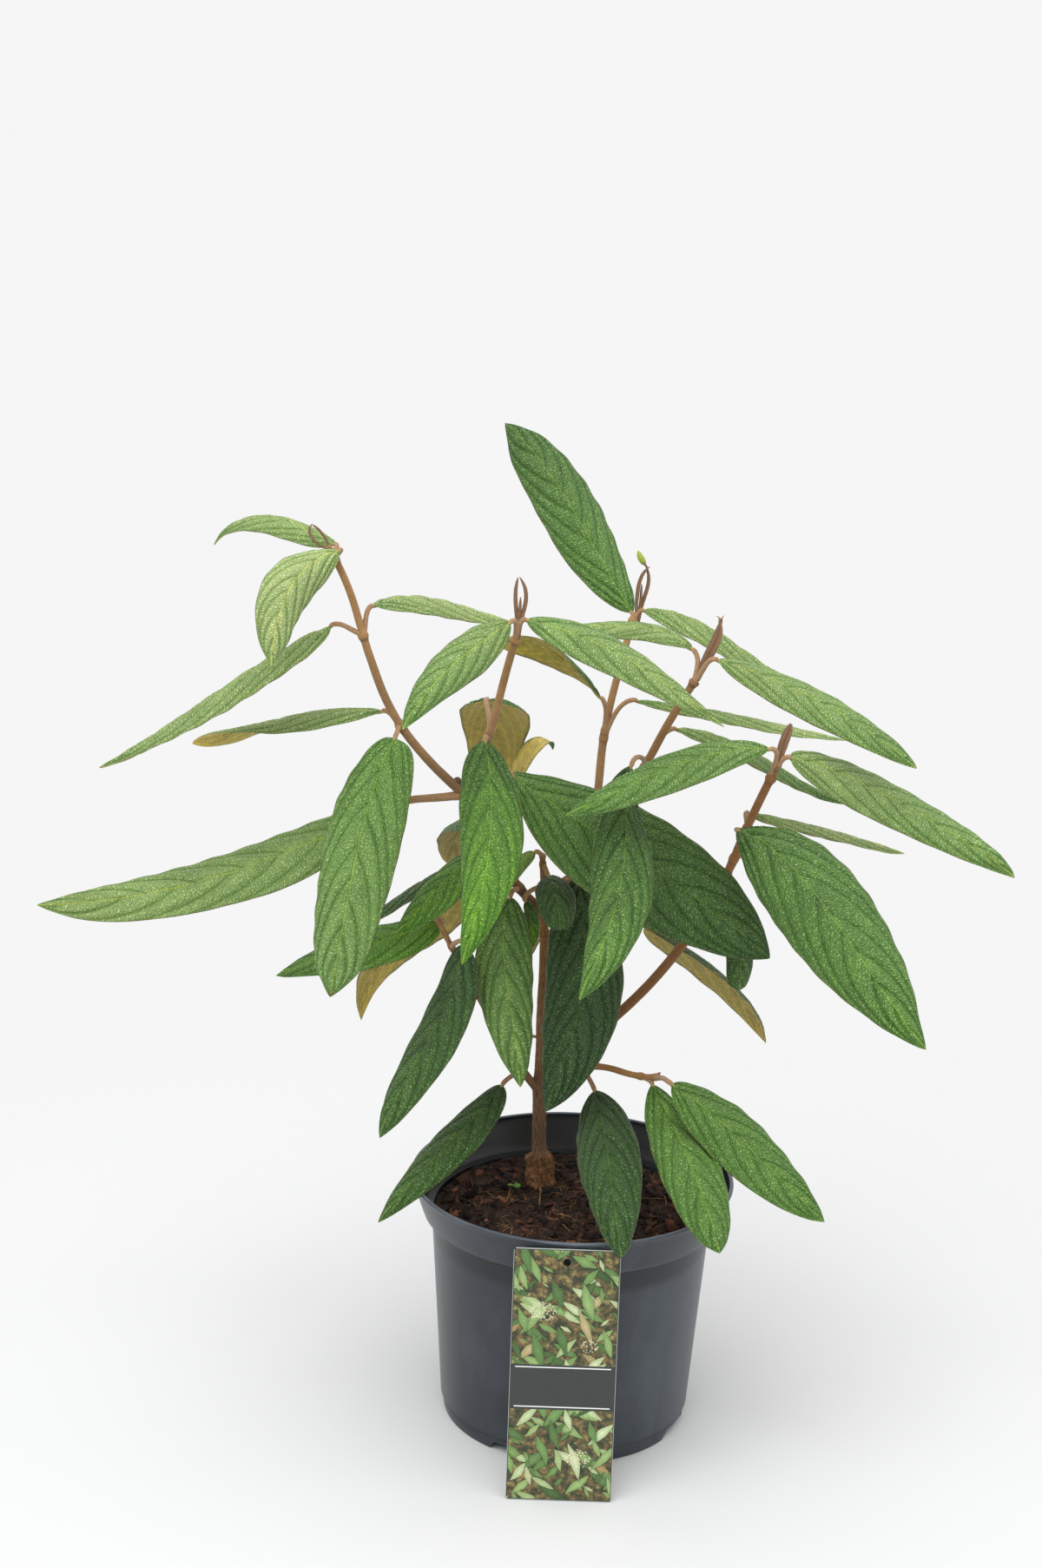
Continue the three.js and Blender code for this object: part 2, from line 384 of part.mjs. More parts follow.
const cardGeometry = () => {
  const s = new THREE.Shape(), w = CARD_W / 2, r = 1.5;
  s.moveTo(-w + r, 0); s.lineTo(w - r, 0); s.lineTo(w, r); s.lineTo(w, CARD_H - r); s.lineTo(w - r, CARD_H); s.lineTo(-w + r, CARD_H); s.lineTo(-w, CARD_H - r); s.lineTo(-w, r); s.closePath();
  const hole = new THREE.Path(); hole.absellipse(0, CARD_H - 9, 2.6, 2.6, 0, 2 * Math.PI, true);
  s.holes.push(hole);
  const g = new THREE.ExtrudeGeometry(s, { depth: CARD_T, bevelEnabled: false, curveSegments: 10 });
  g.rotateX(Math.PI / 2);   // stands up, its picture side toward -Y
  g.deleteAttribute('normal'); g.deleteAttribute('uv');
  const m = mergeVertices(g, 1e-4);
  m.computeVertexNormals();
  return m;
};

// ---- assembly ------------------------------------------------------------------------
const plant = new THREE.Group();
const put = (name, geometry, material) => {
  const mesh = new THREE.Mesh(geometry, material);
  mesh.name = name;
  plant.add(mesh);
  return mesh;
};
put('pot', potGeometry(), mat(gray(66, 74, 82), 0.45));
put('soil', soilGeometry(), mat(gray(58, 40, 31), 0.95));
for (const limb of Object.values(limbs)) {
  put(limb.name, limbBody(limb), mat(limb.parent ? gray(150, 126, 104) : gray(122, 104, 88), 0.85));
}
for (const row of LEAVES) {
  put(`leaf_${row[0]}`, leafBody(row), mat(gray(98, 128, 74), 0.55));
}
const card = put('plant_card', cardGeometry(), mat(gray(96, 112, 84), 0.5));
card.position.set(CARD_X, CARD_FOOT_Y, 0.5);
card.rotation.set(-rad(CARD_LEAN), 0, 0);

export default plant;
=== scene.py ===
import bpy, math
import numpy as np
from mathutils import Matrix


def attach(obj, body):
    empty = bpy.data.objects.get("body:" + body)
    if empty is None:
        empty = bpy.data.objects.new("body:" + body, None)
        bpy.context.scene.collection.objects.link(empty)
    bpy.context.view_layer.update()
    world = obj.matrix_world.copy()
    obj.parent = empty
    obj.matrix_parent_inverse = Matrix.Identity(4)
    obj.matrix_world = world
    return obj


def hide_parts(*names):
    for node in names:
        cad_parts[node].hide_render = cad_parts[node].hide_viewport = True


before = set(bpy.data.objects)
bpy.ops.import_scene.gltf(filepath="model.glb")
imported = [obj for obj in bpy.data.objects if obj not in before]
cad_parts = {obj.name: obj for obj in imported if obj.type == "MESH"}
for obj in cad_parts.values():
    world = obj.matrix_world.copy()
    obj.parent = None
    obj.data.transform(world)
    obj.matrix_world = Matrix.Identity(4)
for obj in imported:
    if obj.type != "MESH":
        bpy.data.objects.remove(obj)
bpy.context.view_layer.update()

MM = 0.001
rng = np.random.default_rng(20)

# ---- sizes in millimetres, the same as the solid model's ----------------------------------
POT_HEIGHT, RIM_R, COLLAR_R, COLLAR_Z = 177.0, 113.5, 104.5, 151.0
BODY_TOP_R, BODY_FOOT_R, FOOT_R, FOOT_H, WALL, PAD_R = 98.5, 88.6, 86.2, 11.0, 1.8, 22.0
SOIL_Z, SOIL_DOME = 150.0, 3.0
FLARE_R, FLARE_H = 11.0, 26.0
PETIOLE_R, CUP = 1.45, 25.0
NOTCH_TURN = 66.0
CARD_W, CARD_H, CARD_T, CARD_FOOT_Y, CARD_LEAN, CARD_X = 70.5, 174.0, 0.9, -133.2, 6.55, -4.4
TRUNK_FOOT = [-21.9, 34.0, 152.2]
# stems: name, parent, place on it, headings, rises, length, radius at the start and the end
LIMBS = [
    ["trunk", None, 0, [157, 344, 512], [85, 92, 86], 206, 5.6, 2.9],
    ["bough_left", "trunk", 1, [-173, -166, -153, -143], [37, 58, 61, 55], 109, 3.4, 3.2],
    ["shoot_far_left", "bough_left", 1, [-163, -172, -169, -167, -170], [40, 50, 69, 74, 58], 199, 3.2, 2.3],
    ["shoot_centre_left", "bough_left", 0.95, [-64, -71, -45, -49], [62, 53, 75, 68], 138, 3, 2.5],
    ["bough_right", "trunk", 1, [14, 27, 34, 48], [56, 49, 47, 59], 60, 3.4, 3.3],
    ["shoot_centre_right", "bough_right", 1, [66, 82, 40, 46], [77, 70, 74, 69], 164, 3.1, 2.4],
    ["shoot_right", "bough_right", 1, [-43, -57, -38, -25], [47, 53, 63, 59], 157, 3.5, 2.5],
    ["shoot_far_right", "trunk", 0.388, [-4, -16, -16, -54, -46], [46, 47, 59, 66, 62], 309, 3.8, 2.7],
    ["bough_low_left", "trunk", 0.35, [-160, -142, -152, -162], [50, 59, 60, 63], 170, 3, 1.8],
    ["twig_low_right", "trunk", 0.375, [-38, -27, -43, -38], [45, 23, 0, 17], 108, 2.5, 2.1],
    ["shoot_inner", "trunk", 1, [-108, -102, -99], [78, 74, 69], 47, 2.4, 2],
]
# leaves: name, stem, place on it, stalk [length, heading, rise], the blade's headings, rises and rolls,
# length, width, fold, outline exponents, and how far the stalk first follows its stem
LEAVES = [
    ["far_left_1", "shoot_far_left", 0.96, [12.3, 90, 33], [152, 158, 154], [18, 2, -65], [-16, -14, -14], 103, 30.3, 10, 0.51, 0.76, 0.5],
    ["far_left_2", "shoot_far_left", 0.945, [11.7, -70, 43], [-146, -115, -118], [-12, -41, -91], [-28, -48, -20], 105, 38.2, 16, 0.59, 0.75, 0.5],
    ["far_left_3", "shoot_far_left", 0.675, [22.7, -172, 16], [192, 190, 184], [-25, -35, -29], [2, 8, 11], 180, 51.5, 14, 0.49, 0.81, 0.1],
    ["far_left_4", "shoot_far_left", 0.67, [21.8, 48, 68], [45, 37, 29], [15, -15, -16], [4, 8, 5], 122, 37.1, 15, 0.53, 0.72, 0.2],
    ["far_left_5", "shoot_far_left", 0.33, [18, 152, 31], [170, 174, 173], [-3, -14, -22], [2, 0, 60], 136, 39.2, 5, 0.58, 0.73, 0.5],
    ["far_left_6", "shoot_far_left", 0.34, [13.7, -103, -29], [-123, -107, -114], [-46, -60, -68], [-5, -7, -8], 181, 54.6, 5, 0.29, 0.45, 0],
    ["far_left_7", "bough_left", 1, [56.8, -168, -9], [187, 185, 191], [-28, -18, 1], [-43, -38, -49], 245, 46.7, 5, 0.43, 0.65, 0],
    ["centre_left_1", "shoot_centre_left", 0.99, [23.7, -102, 38], [-133, -136, -147], [-21, -30, -62], [-43, -42, -37], 109, 32.2, 12, 0.55, 0.84, 0.5],
    ["centre_left_2", "shoot_centre_left", 0.985, [16.6, -28, 62], [-12, -17, -18], [-8, -25, -33], [37, 30, 16], 147, 33.2, 5, 0.58, 0.96, 0.5],
    ["centre_left_3", "shoot_centre_left", 0.445, [13.8, -96, 5], [-72, -97, -132], [-54, -55, -67], [-9, 2, -20], 155, 46.5, 14, 0.45, 0.84, 0],
    ["centre_left_4", "shoot_centre_left", 0.48, [33.2, 95, 29], [72, 98, 104], [-10, -70, -120], [-4, 0, 4], 134, 50, 6, 0.26, 1, 0.5],
    ["centre_left_5", "shoot_centre_left", 0.19, [43.9, 46, -21], [19, 44, 67], [85, 35, -61], [198, 192, 190], 55, 17.6, 12, 0.41, 0.8, 0.5],
    ["centre_right_1", "shoot_centre_right", 0.97, [6.3, 101, 59], [133, 142, 133], [43, 49, 24], [-31, -35, -48], 177, 49.6, 12, 0.67, 0.66, 0.5],
    ["centre_right_2", "shoot_centre_right", 0.97, [11, 2, 50], [-3, 0, 7], [4, -31, -26], [5, 7, 3], 123, 38.5, 16, 0.52, 0.77, 0.5],
    ["centre_right_3", "shoot_centre_right", 0.48, [26.3, -131, 78], [175, 179, 190], [55, 27, -17], [6, 40, 73], 89, 27.9, 10, 0.64, 0.7, 1],
    ["centre_right_4", "shoot_centre_right", 0.45, [35.8, 8, 51], [13, 11, 11], [-6, -12, -13], [-10, -9, -7], 160, 36.2, 12, 0.54, 0.78, 1.3],
    ["right_1", "shoot_right", 1, [22.2, 109, 71], [160, 164, 170], [36, -1, -3], [-11, -19, -13], 91, 25.8, 5, 0.56, 0.72, 0.8],
    ["right_2", "shoot_right", 0.995, [23.7, -26, 47], [7, -10, -44], [-16, -25, -29], [30, 28, 26], 153, 37.5, 5, 0.61, 0.84, 0.5],
    ["right_3", "shoot_right", 0.56, [29.7, 14, 50], [16, 10, 7], [-2, -30, -18], [-2, -5, -6], 140, 39, 14, 0.47, 0.79, 1],
    ["right_4", "shoot_right", 0.525, [32.1, -109, 14], [-101, -102, -170], [-51, -49, -71], [-53, -6, -42], 169, 51, 21, 0.65, 0.8, 1.6],
    ["far_right_1", "shoot_far_right", 0.96, [25.6, -105, 63], [-175, -169, -157], [3, -22, -19], [-34, -29, -26], 144, 36.4, 5, 0.7, 0.85, 0.7],
    ["far_right_2", "shoot_far_right", 0.96, [21.3, -33, 51], [21, -3, -77], [-14, -27, -9], [43, 35, 26], 186, 42.5, 5, 0.55, 0.95, 0.5],
    ["far_right_3", "shoot_far_right", 0.805, [14.8, -116, 23], [-62, -47, -28], [8, -38, -42], [39, 43, 58], 208, 68.6, 14, 0.68, 0.87, 0.5],
    ["far_right_4", "shoot_far_right", 0.82, [12.2, 82, 47], [24, 20, 14], [-12, -17, -20], [-5, -9, -3], 127, 32.1, 14, 0.49, 0.76, 0.5],
    ["middle_1", "shoot_centre_left", 0.17, [41.6, -52, 13], [24, -8, -23], [-39, -30, -36], [38, 60, 43], 216, 76.6, 5, 0.6, 0.67, 0.5],
    ["middle_2", "bough_right", 0.43, [25.8, -68, 28], [-62, -102, -134], [-73, -55, -59], [14, -1, -16], 168, 60.9, 13, 0.61, 0.77, 0.2],
    ["low_left_1", "bough_left", 0.235, [19.1, -109, -4], [-117, -66, -59], [-54, -63, -82], [5, 12, 22], 133, 44.8, 14, 0.53, 0.79, 0.2],
    ["low_left_2", "bough_low_left", 0.83, [17, -59, 20], [-134, -146, -138], [-82, -57, -67], [-11, -10, -15], 143, 43.3, 5, 0.54, 0.74, 0.5],
    ["low_left_3", "bough_left", 0.53, [21.5, -113, 28], [-157, -148, -148], [-32, -41, -39], [-13, -21, -14], 88, 32, 9, 0.54, 0.68, 0.5],
    ["low_left_4", "bough_low_left", 0.975, [13.8, 77, -32], [179, 175, 169], [-23, -19, -32], [-29, -41, -32], 124, 35.5, 5, 0.4, 0.71, 0],
    ["low_left_5", "bough_left", 0.555, [30.3, 175, -61], [162, 146, 137], [-50, -42, -99], [14, 19, 10], 159, 46.8, 13, 0.43, 0.9, 0.5],
    ["low_left_6", "bough_left", 0.66, [17, 149, -66], [165, 164, 162], [-23, -38, -44], [4, 3, 2], 121, 35.6, 14, 0.51, 0.72, 0.5],
    ["inner_1", "shoot_inner", 0.985, [8.1, -143, 30], [-155, -162, -173], [-11, -60, -52], [-29, -21, -15], 43, 13.8, 12, 0.4, 0.78, 0.5],
    ["inner_2", "shoot_inner", 0.84, [9.6, -47, -49], [-82, -78, -79], [19, -31, -62], [8, 6, 5], 57, 29, 9, 0.45, 0.42, 0.5],
    ["inner_3", "shoot_inner", 0.455, [17, -154, -36], [-47, -39, -38], [-53, -79, -105], [63, 67, 63], 36, 12.1, 15, 0.47, 0.76, 0.5],
    ["low_right_1", "bough_right", 0.835, [66.9, -15, -46], [23, 23, 20], [-30, -42, -67], [-13, -15, -17], 143, 43.7, 5, 0.47, 0.81, 0.5],
    ["low_right_2", "shoot_far_right", 0.69, [32.4, 58, -66], [-49, -67, -58], [-56, -77, -97], [11, 16, 13], 56, 20.3, 11, 0.56, 0.3, 0.5],
    ["skirt_1", "bough_low_left", 0.145, [21.3, -132, -18], [-135, -138, -142], [-37, -31, -45], [-10, -17, -11], 132, 34.1, 9, 0.49, 0.79, 0],
    ["skirt_2", "twig_low_right", 0.38, [25.6, -71, -17], [-81, -84, -78], [-9, -24, -44], [14, 14, 8], 150, 47.5, 14, 0.52, 0.72, 0],
    ["skirt_3", "twig_low_right", 0.85, [11.4, -45, -11], [-66, -68, -68], [-28, -31, -51], [11, 16, 11], 136, 46.4, 11, 0.65, 0.64, 0.5],
    ["skirt_4", "twig_low_right", 0.97, [33, -73, 13], [-5, -24, -33], [-32, -36, -31], [34, 33, 23], 136, 45.9, 5, 0.56, 0.77, 0.5],
    ["back_1", "bough_right", 0.45, [26, 70, 20], [70, 74, 78], [15, -30, -55], [0, 0, 0], 150, 44, 16, 0.5, 0.75, 0.5],
    ["back_2", "trunk", 0.93, [24, 110, 10], [100, 104, 108], [-5, -45, -65], [0, 0, 0], 140, 42, 17, 0.5, 0.75, 0.5],
    ["back_3", "bough_left", 0.6, [28, 108, 8], [104, 102, 100], [5, -30, -50], [0, 0, 0], 140, 42, 16, 0.5, 0.75, 0.5],
    ["back_4", "shoot_far_right", 0.735, [24, 45, -5], [46, 42, 38], [-8, -35, -55], [0, 0, 0], 125, 38, 16, 0.5, 0.75, 0.5],
]

# ---- paths and frames ------------------------------------------------------------------------
def along(v, t):
    return np.interp(t, np.linspace(0, 1, len(v)), v)


def bend(v, t):
    a, b, c = v
    return a * 2 * (t - 0.5) * (t - 1) - b * 4 * t * (t - 1) + c * 2 * t * (t - 0.5)


def dirs(az, e):
    a, e = np.radians(az), np.radians(e)
    return np.stack([np.cos(e) * np.cos(a), np.cos(e) * np.sin(a), np.sin(e)], -1)


def unit(v):
    return v / (np.linalg.norm(v, axis=-1, keepdims=True) + 1e-12)


limbs = {}
for name, parent, at, azs, rises, length, r0, r1 in LIMBS:
    start = np.array(TRUNK_FOOT, float)
    if parent:
        P = limbs[parent]["P"]
        i = at * 60
        k = min(int(i), 59)
        start = P[k] + (P[k + 1] - P[k]) * (i - k)
    t = (np.arange(60) + 0.5) / 60
    P = np.vstack([start, start + np.cumsum(dirs(along(azs, t), along(rises, t)) * length / 60, 0)])
    limbs[name] = dict(P=P, L=length, r0=r0, r1=r1, parent=parent)


def on(limb, t):
    P = limbs[limb]["P"]
    x = np.clip(np.asarray(t, float), 0, 1) * 60
    return np.stack([np.interp(x, np.arange(61), P[:, i]) for i in range(3)], -1)


def tangent(limb, t):
    return unit(on(limb, np.minimum(t + 0.02, 1)) - on(limb, np.maximum(t - 0.02, 0)))


# ---- noises -------------------------------------------------------------------------------------
def hash2(i, j, seed):
    i, j = np.asarray(i), np.asarray(j)
    n = (i.astype(np.int64) * 374761393 + j.astype(np.int64) * 668265263 + seed * 1442695041) & 0xFFFFFFFF
    n = ((n ^ (n >> 13)) * 1274126177) & 0xFFFFFFFF
    n = ((n ^ (n >> 16)) * 73244475) & 0xFFFFFFFF
    return (n ^ (n >> 15)) / 4294967296.0


def vnoise(x, y, seed):
    i, j = np.floor(x), np.floor(y)
    u, v = x - i, y - j
    u, v = u * u * (3 - 2 * u), v * v * (3 - 2 * v)
    a, b = hash2(i, j, seed), hash2(i + 1, j, seed)
    c, d = hash2(i, j + 1, seed), hash2(i + 1, j + 1, seed)
    return (a * (1 - u) + b * u) * (1 - v) + (c * (1 - u) + d * u) * v


def fbm(x, y, seed, octaves=3):
    s, a, tot = 0, 1.0, 0
    for k in range(octaves):
        s = s + a * vnoise(x * 2 ** k, y * 2 ** k, seed + 17 * k)
        tot += a
        a *= 0.5
    return s / tot


def cells(x, y, seed, jitter=0.85):
    """second nearest minus nearest distance of scattered points: 0 between the cells"""
    i0, j0 = np.floor(x), np.floor(y)
    f1 = np.full(x.shape, 9.0)
    f2 = np.full(x.shape, 9.0)
    for di in (-1, 0, 1):
        for dj in (-1, 0, 1):
            i, j = i0 + di, j0 + dj
            px = i + 0.5 + jitter * (hash2(i, j, seed) - 0.5)
            py = j + 0.5 + jitter * (hash2(i, j, seed + 5) - 0.5)
            d = np.hypot(px - x, py - y)
            f2 = np.minimum(f2, np.maximum(f1, d))
            f1 = np.minimum(f1, d)
    return f2 - f1


# ---- meshes ----------------------------------------------------------------------------------------
class Soup:
    """vertices, faces and per-vertex values of one piece, gathered from many closed shapes"""

    def __init__(self):
        self.v, self.f3, self.f4, self.m3, self.m4, self.col, self.uv, self.ex = [], [], [], [], [], [], [], []
        self.n = 0

    def add(self, v, quads=None, tris=None, mat4=0, mat3=0, col=(0.5, 0.5, 0.5), uv=None, veins=None):
        v = np.asarray(v, float).reshape(-1, 3)
        if quads is not None and len(quads):
            q = np.asarray(quads, np.int64)
            self.f4.append(q + self.n)
            self.m4.append(np.broadcast_to(mat4, len(q)).astype(np.int32))
        if tris is not None and len(tris):
            q = np.asarray(tris, np.int64)
            self.f3.append(q + self.n)
            self.m3.append(np.broadcast_to(mat3, len(q)).astype(np.int32))
        self.v.append(v)
        c = np.asarray(col, float)
        self.col.append(np.broadcast_to(c, (len(v), 3)) if c.ndim == 1 else c)
        self.uv.append(np.zeros((len(v), 3)) if uv is None else uv)
        self.ex.append(np.full((len(v), 3), 9.0) if veins is None else veins)
        self.n += len(v)

    def build(self, name, mats, nodes=(), smooth=True):
        v = np.vstack(self.v) * MM
        f4 = np.vstack(self.f4) if self.f4 else np.zeros((0, 4), int)
        f3 = np.vstack(self.f3) if self.f3 else np.zeros((0, 3), int)
        m4 = np.concatenate(self.m4) if self.m4 else np.zeros(0, int)
        m3 = np.concatenate(self.m3) if self.m3 else np.zeros(0, int)
        me = bpy.data.meshes.new(name)
        me.vertices.add(len(v))
        me.vertices.foreach_set("co", v.astype(np.float32).ravel())
        loops = np.concatenate([f4.ravel(), f3.ravel()]).astype(np.int32)
        me.loops.add(len(loops))
        me.loops.foreach_set("vertex_index", loops)
        starts = np.concatenate([np.arange(len(f4)) * 4, len(f4) * 4 + np.arange(len(f3)) * 3]).astype(np.int32)
        me.polygons.add(len(starts))
        me.polygons.foreach_set("loop_start", starts)
        me.polygons.foreach_set("material_index", np.concatenate([m4, m3]).astype(np.int32))
        me.polygons.foreach_set("use_smooth", np.full(len(starts), smooth))
        me.update(calc_edges=True)
        a = me.attributes.new("tint", "FLOAT_COLOR", "POINT")
        c = np.ones((len(v), 4), np.float32)
        c[:, :3] = np.vstack(self.col)
        a.data.foreach_set("color", c.ravel())
        a = me.attributes.new("place", "FLOAT_VECTOR", "POINT")
        a.data.foreach_set("vector", np.vstack(self.uv).astype(np.float32).ravel())
        if any(m.name.startswith("leaf") for m in mats):
            a = me.attributes.new("veins", "FLOAT_VECTOR", "POINT")
            a.data.foreach_set("vector", np.vstack(self.ex).astype(np.float32).ravel())
        me.validate()
        o = bpy.data.objects.new(name, me)
        bpy.context.scene.collection.objects.link(o)
        for m in mats:
            me.materials.append(m)
        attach(o, "root")
        if nodes:
            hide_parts(*nodes)
        print("PIECE", name, "triangles", len(f4) * 2 + len(f3))
        return o


def grid_quads(nr, nc, wrap=False, flip=False):
    i, j = np.meshgrid(np.arange(nr - 1), np.arange(nc if wrap else nc - 1), indexing="ij")
    a = i * nc + j
    b = i * nc + (j + 1) % nc
    q = np.stack([a, b, b + nc, a + nc], -1).reshape(-1, 4)
    return q[:, ::-1] if flip else q


def tube(soup, P, R, sides, col, mat=0, relief=None, squash=None, uvoff=0.0, ref=None):
    """closed tapering tube along points P with radii R; relief(theta, s) adds to the radius"""
    P = np.asarray(P, float)
    n = len(P)
    T = unit(np.gradient(P, axis=0))
    # carried frame
    A = np.zeros((n, 3))
    a = np.array([0.31, -0.85, 0.12]) if ref is None else np.asarray(ref, float)
    a = a - T[0] * (a @ T[0])
    A[0] = unit(a)
    for k in range(1, n):
        a = A[k - 1] - T[k] * (A[k - 1] @ T[k])
        A[k] = unit(a)
    B = np.cross(T, A)
    th = np.arange(sides) / sides * 2 * np.pi
    s = np.r_[0, np.cumsum(np.linalg.norm(np.diff(P, axis=0), axis=1))]
    R = np.asarray(R, float)[:, None] * np.ones((1, sides))
    if relief is not None:
        R = R + relief(th[None, :], s[:, None], R)
    ca, sa = np.cos(th)[None, :, None], np.sin(th)[None, :, None]
    k1, k2 = (1, 1) if squash is None else squash
    V = P[:, None] + A[:, None] * ca * R[..., None] * k1 + B[:, None] * sa * R[..., None] * k2
    uv = np.zeros((n, sides, 3))
    uv[..., 0] = np.minimum(th, 2 * np.pi - th)[None, :] * R.mean()
    uv[..., 1] = s[:, None] + uvoff
    V = V.reshape(-1, 3)
    uv = uv.reshape(-1, 3)
    q = grid_quads(n, sides, wrap=True)
    c0, c1 = len(V), len(V) + 1
    V = np.vstack([V, P[0] - T[0] * R[0].mean() * 0.25, P[-1] + T[-1] * R[-1].mean() * 0.35])
    uv = np.vstack([uv, uv[0], uv[-1]])
    j = np.arange(sides)
    last = (n - 1) * sides
    tris = np.vstack([np.stack([np.full(sides, c0), (j + 1) % sides, j], 1),
                      np.stack([np.full(sides, c1), last + j, last + (j + 1) % sides], 1)])
    c = np.asarray(col, float)
    if c.ndim == 2 and len(c) == n:
        c = np.repeat(c, sides, 0)
        c = np.vstack([c, c[0], c[-1]])
    soup.add(V, q, tris, mat, mat, c, uv)


def srgb(r, g, b):
    c = np.array([r, g, b], float) / 255
    return np.where(c <= 0.04045, c / 12.92, ((c + 0.055) / 1.055) ** 2.4)


# ---- materials ------------------------------------------------------------------------------------
def new_mat(name):
    m = bpy.data.materials.new(name)
    m.use_nodes = True
    nt = m.node_tree
    return m, nt, nt.nodes["Principled BSDF"]


def node(nt, kind, **kw):
    n = nt.nodes.new(kind)
    for k, v in kw.items():
        if k.startswith("i_"):
            n.inputs[k[2:].replace("_", " ")].default_value = v
        else:
            setattr(n, k, v)
    return n


def attr(nt, name, out="Color"):
    return node(nt, "ShaderNodeAttribute", attribute_name=name, attribute_type="GEOMETRY").outputs[out]


def mix(nt, a, b, fac, mode="MIX"):
    n = nt.nodes.new("ShaderNodeMix")
    n.data_type = "RGBA"
    n.blend_type = mode
    for sock, val in ((n.inputs[6], a), (n.inputs[7], b), (n.inputs[0], fac)):
        if isinstance(val, (int, float)):
            sock.default_value = val
        elif isinstance(val, (tuple, list, np.ndarray)):
            sock.default_value = tuple(float(x) for x in val) + ((1.0,) if len(val) == 3 else ())
        else:
            nt.links.new(val, sock)
    return n.outputs[2]


def ramp(nt, src, stops, interp="LINEAR"):
    n = nt.nodes.new("ShaderNodeValToRGB")
    n.color_ramp.interpolation = interp
    e = n.color_ramp.elements
    while len(e) < len(stops):
        e.new(0.5)
    for k, (p, c) in enumerate(stops):
        e[k].position = p
        e[k].color = (c, c, c, 1) if isinstance(c, (int, float)) else tuple(float(x) for x in c) + (1,)
    nt.links.new(src, n.inputs[0])
    return n.outputs[0]


def scaled(nt, src, scale):
    n = nt.nodes.new("ShaderNodeVectorMath")
    n.operation = "MULTIPLY"
    nt.links.new(src, n.inputs[0])
    n.inputs[1].default_value = scale
    return n.outputs[0]


def absolute(nt, src):
    n = node(nt, "ShaderNodeMath", operation="ABSOLUTE")
    nt.links.new(src, n.inputs[0])
    return n.outputs[0]


def noise(nt, vec, scale, detail=3.0, rough=0.5):
    n = node(nt, "ShaderNodeTexNoise", i_Scale=scale, i_Detail=detail, i_Roughness=rough)
    nt.links.new(vec, n.inputs["Vector"])
    return n.outputs["Fac"]


def noise_color(nt, vec, scale):
    n = node(nt, "ShaderNodeTexNoise", i_Scale=scale, i_Detail=1.0)
    nt.links.new(vec, n.inputs["Vector"])
    return n.outputs["Color"]


def voronoi(nt, vec, scale, feature="F1", out="Distance", rand=1.0, metric="EUCLIDEAN"):
    n = node(nt, "ShaderNodeTexVoronoi", feature=feature, distance=metric)
    if metric == "MINKOWSKI":
        n.inputs["Exponent"].default_value = 1.15
    n.inputs["Scale"].default_value = scale
    n.inputs["Randomness"].default_value = rand
    nt.links.new(vec, n.inputs["Vector"])
    return n.outputs[out]


def bump(nt, height, strength, dist, prev=None):
    n = node(nt, "ShaderNodeBump")
    n.inputs["Strength"].default_value = strength
    n.inputs["Distance"].default_value = dist
    nt.links.new(height, n.inputs["Height"])
    if prev is not None:
        nt.links.new(prev, n.inputs["Normal"])
    return n.outputs["Normal"]


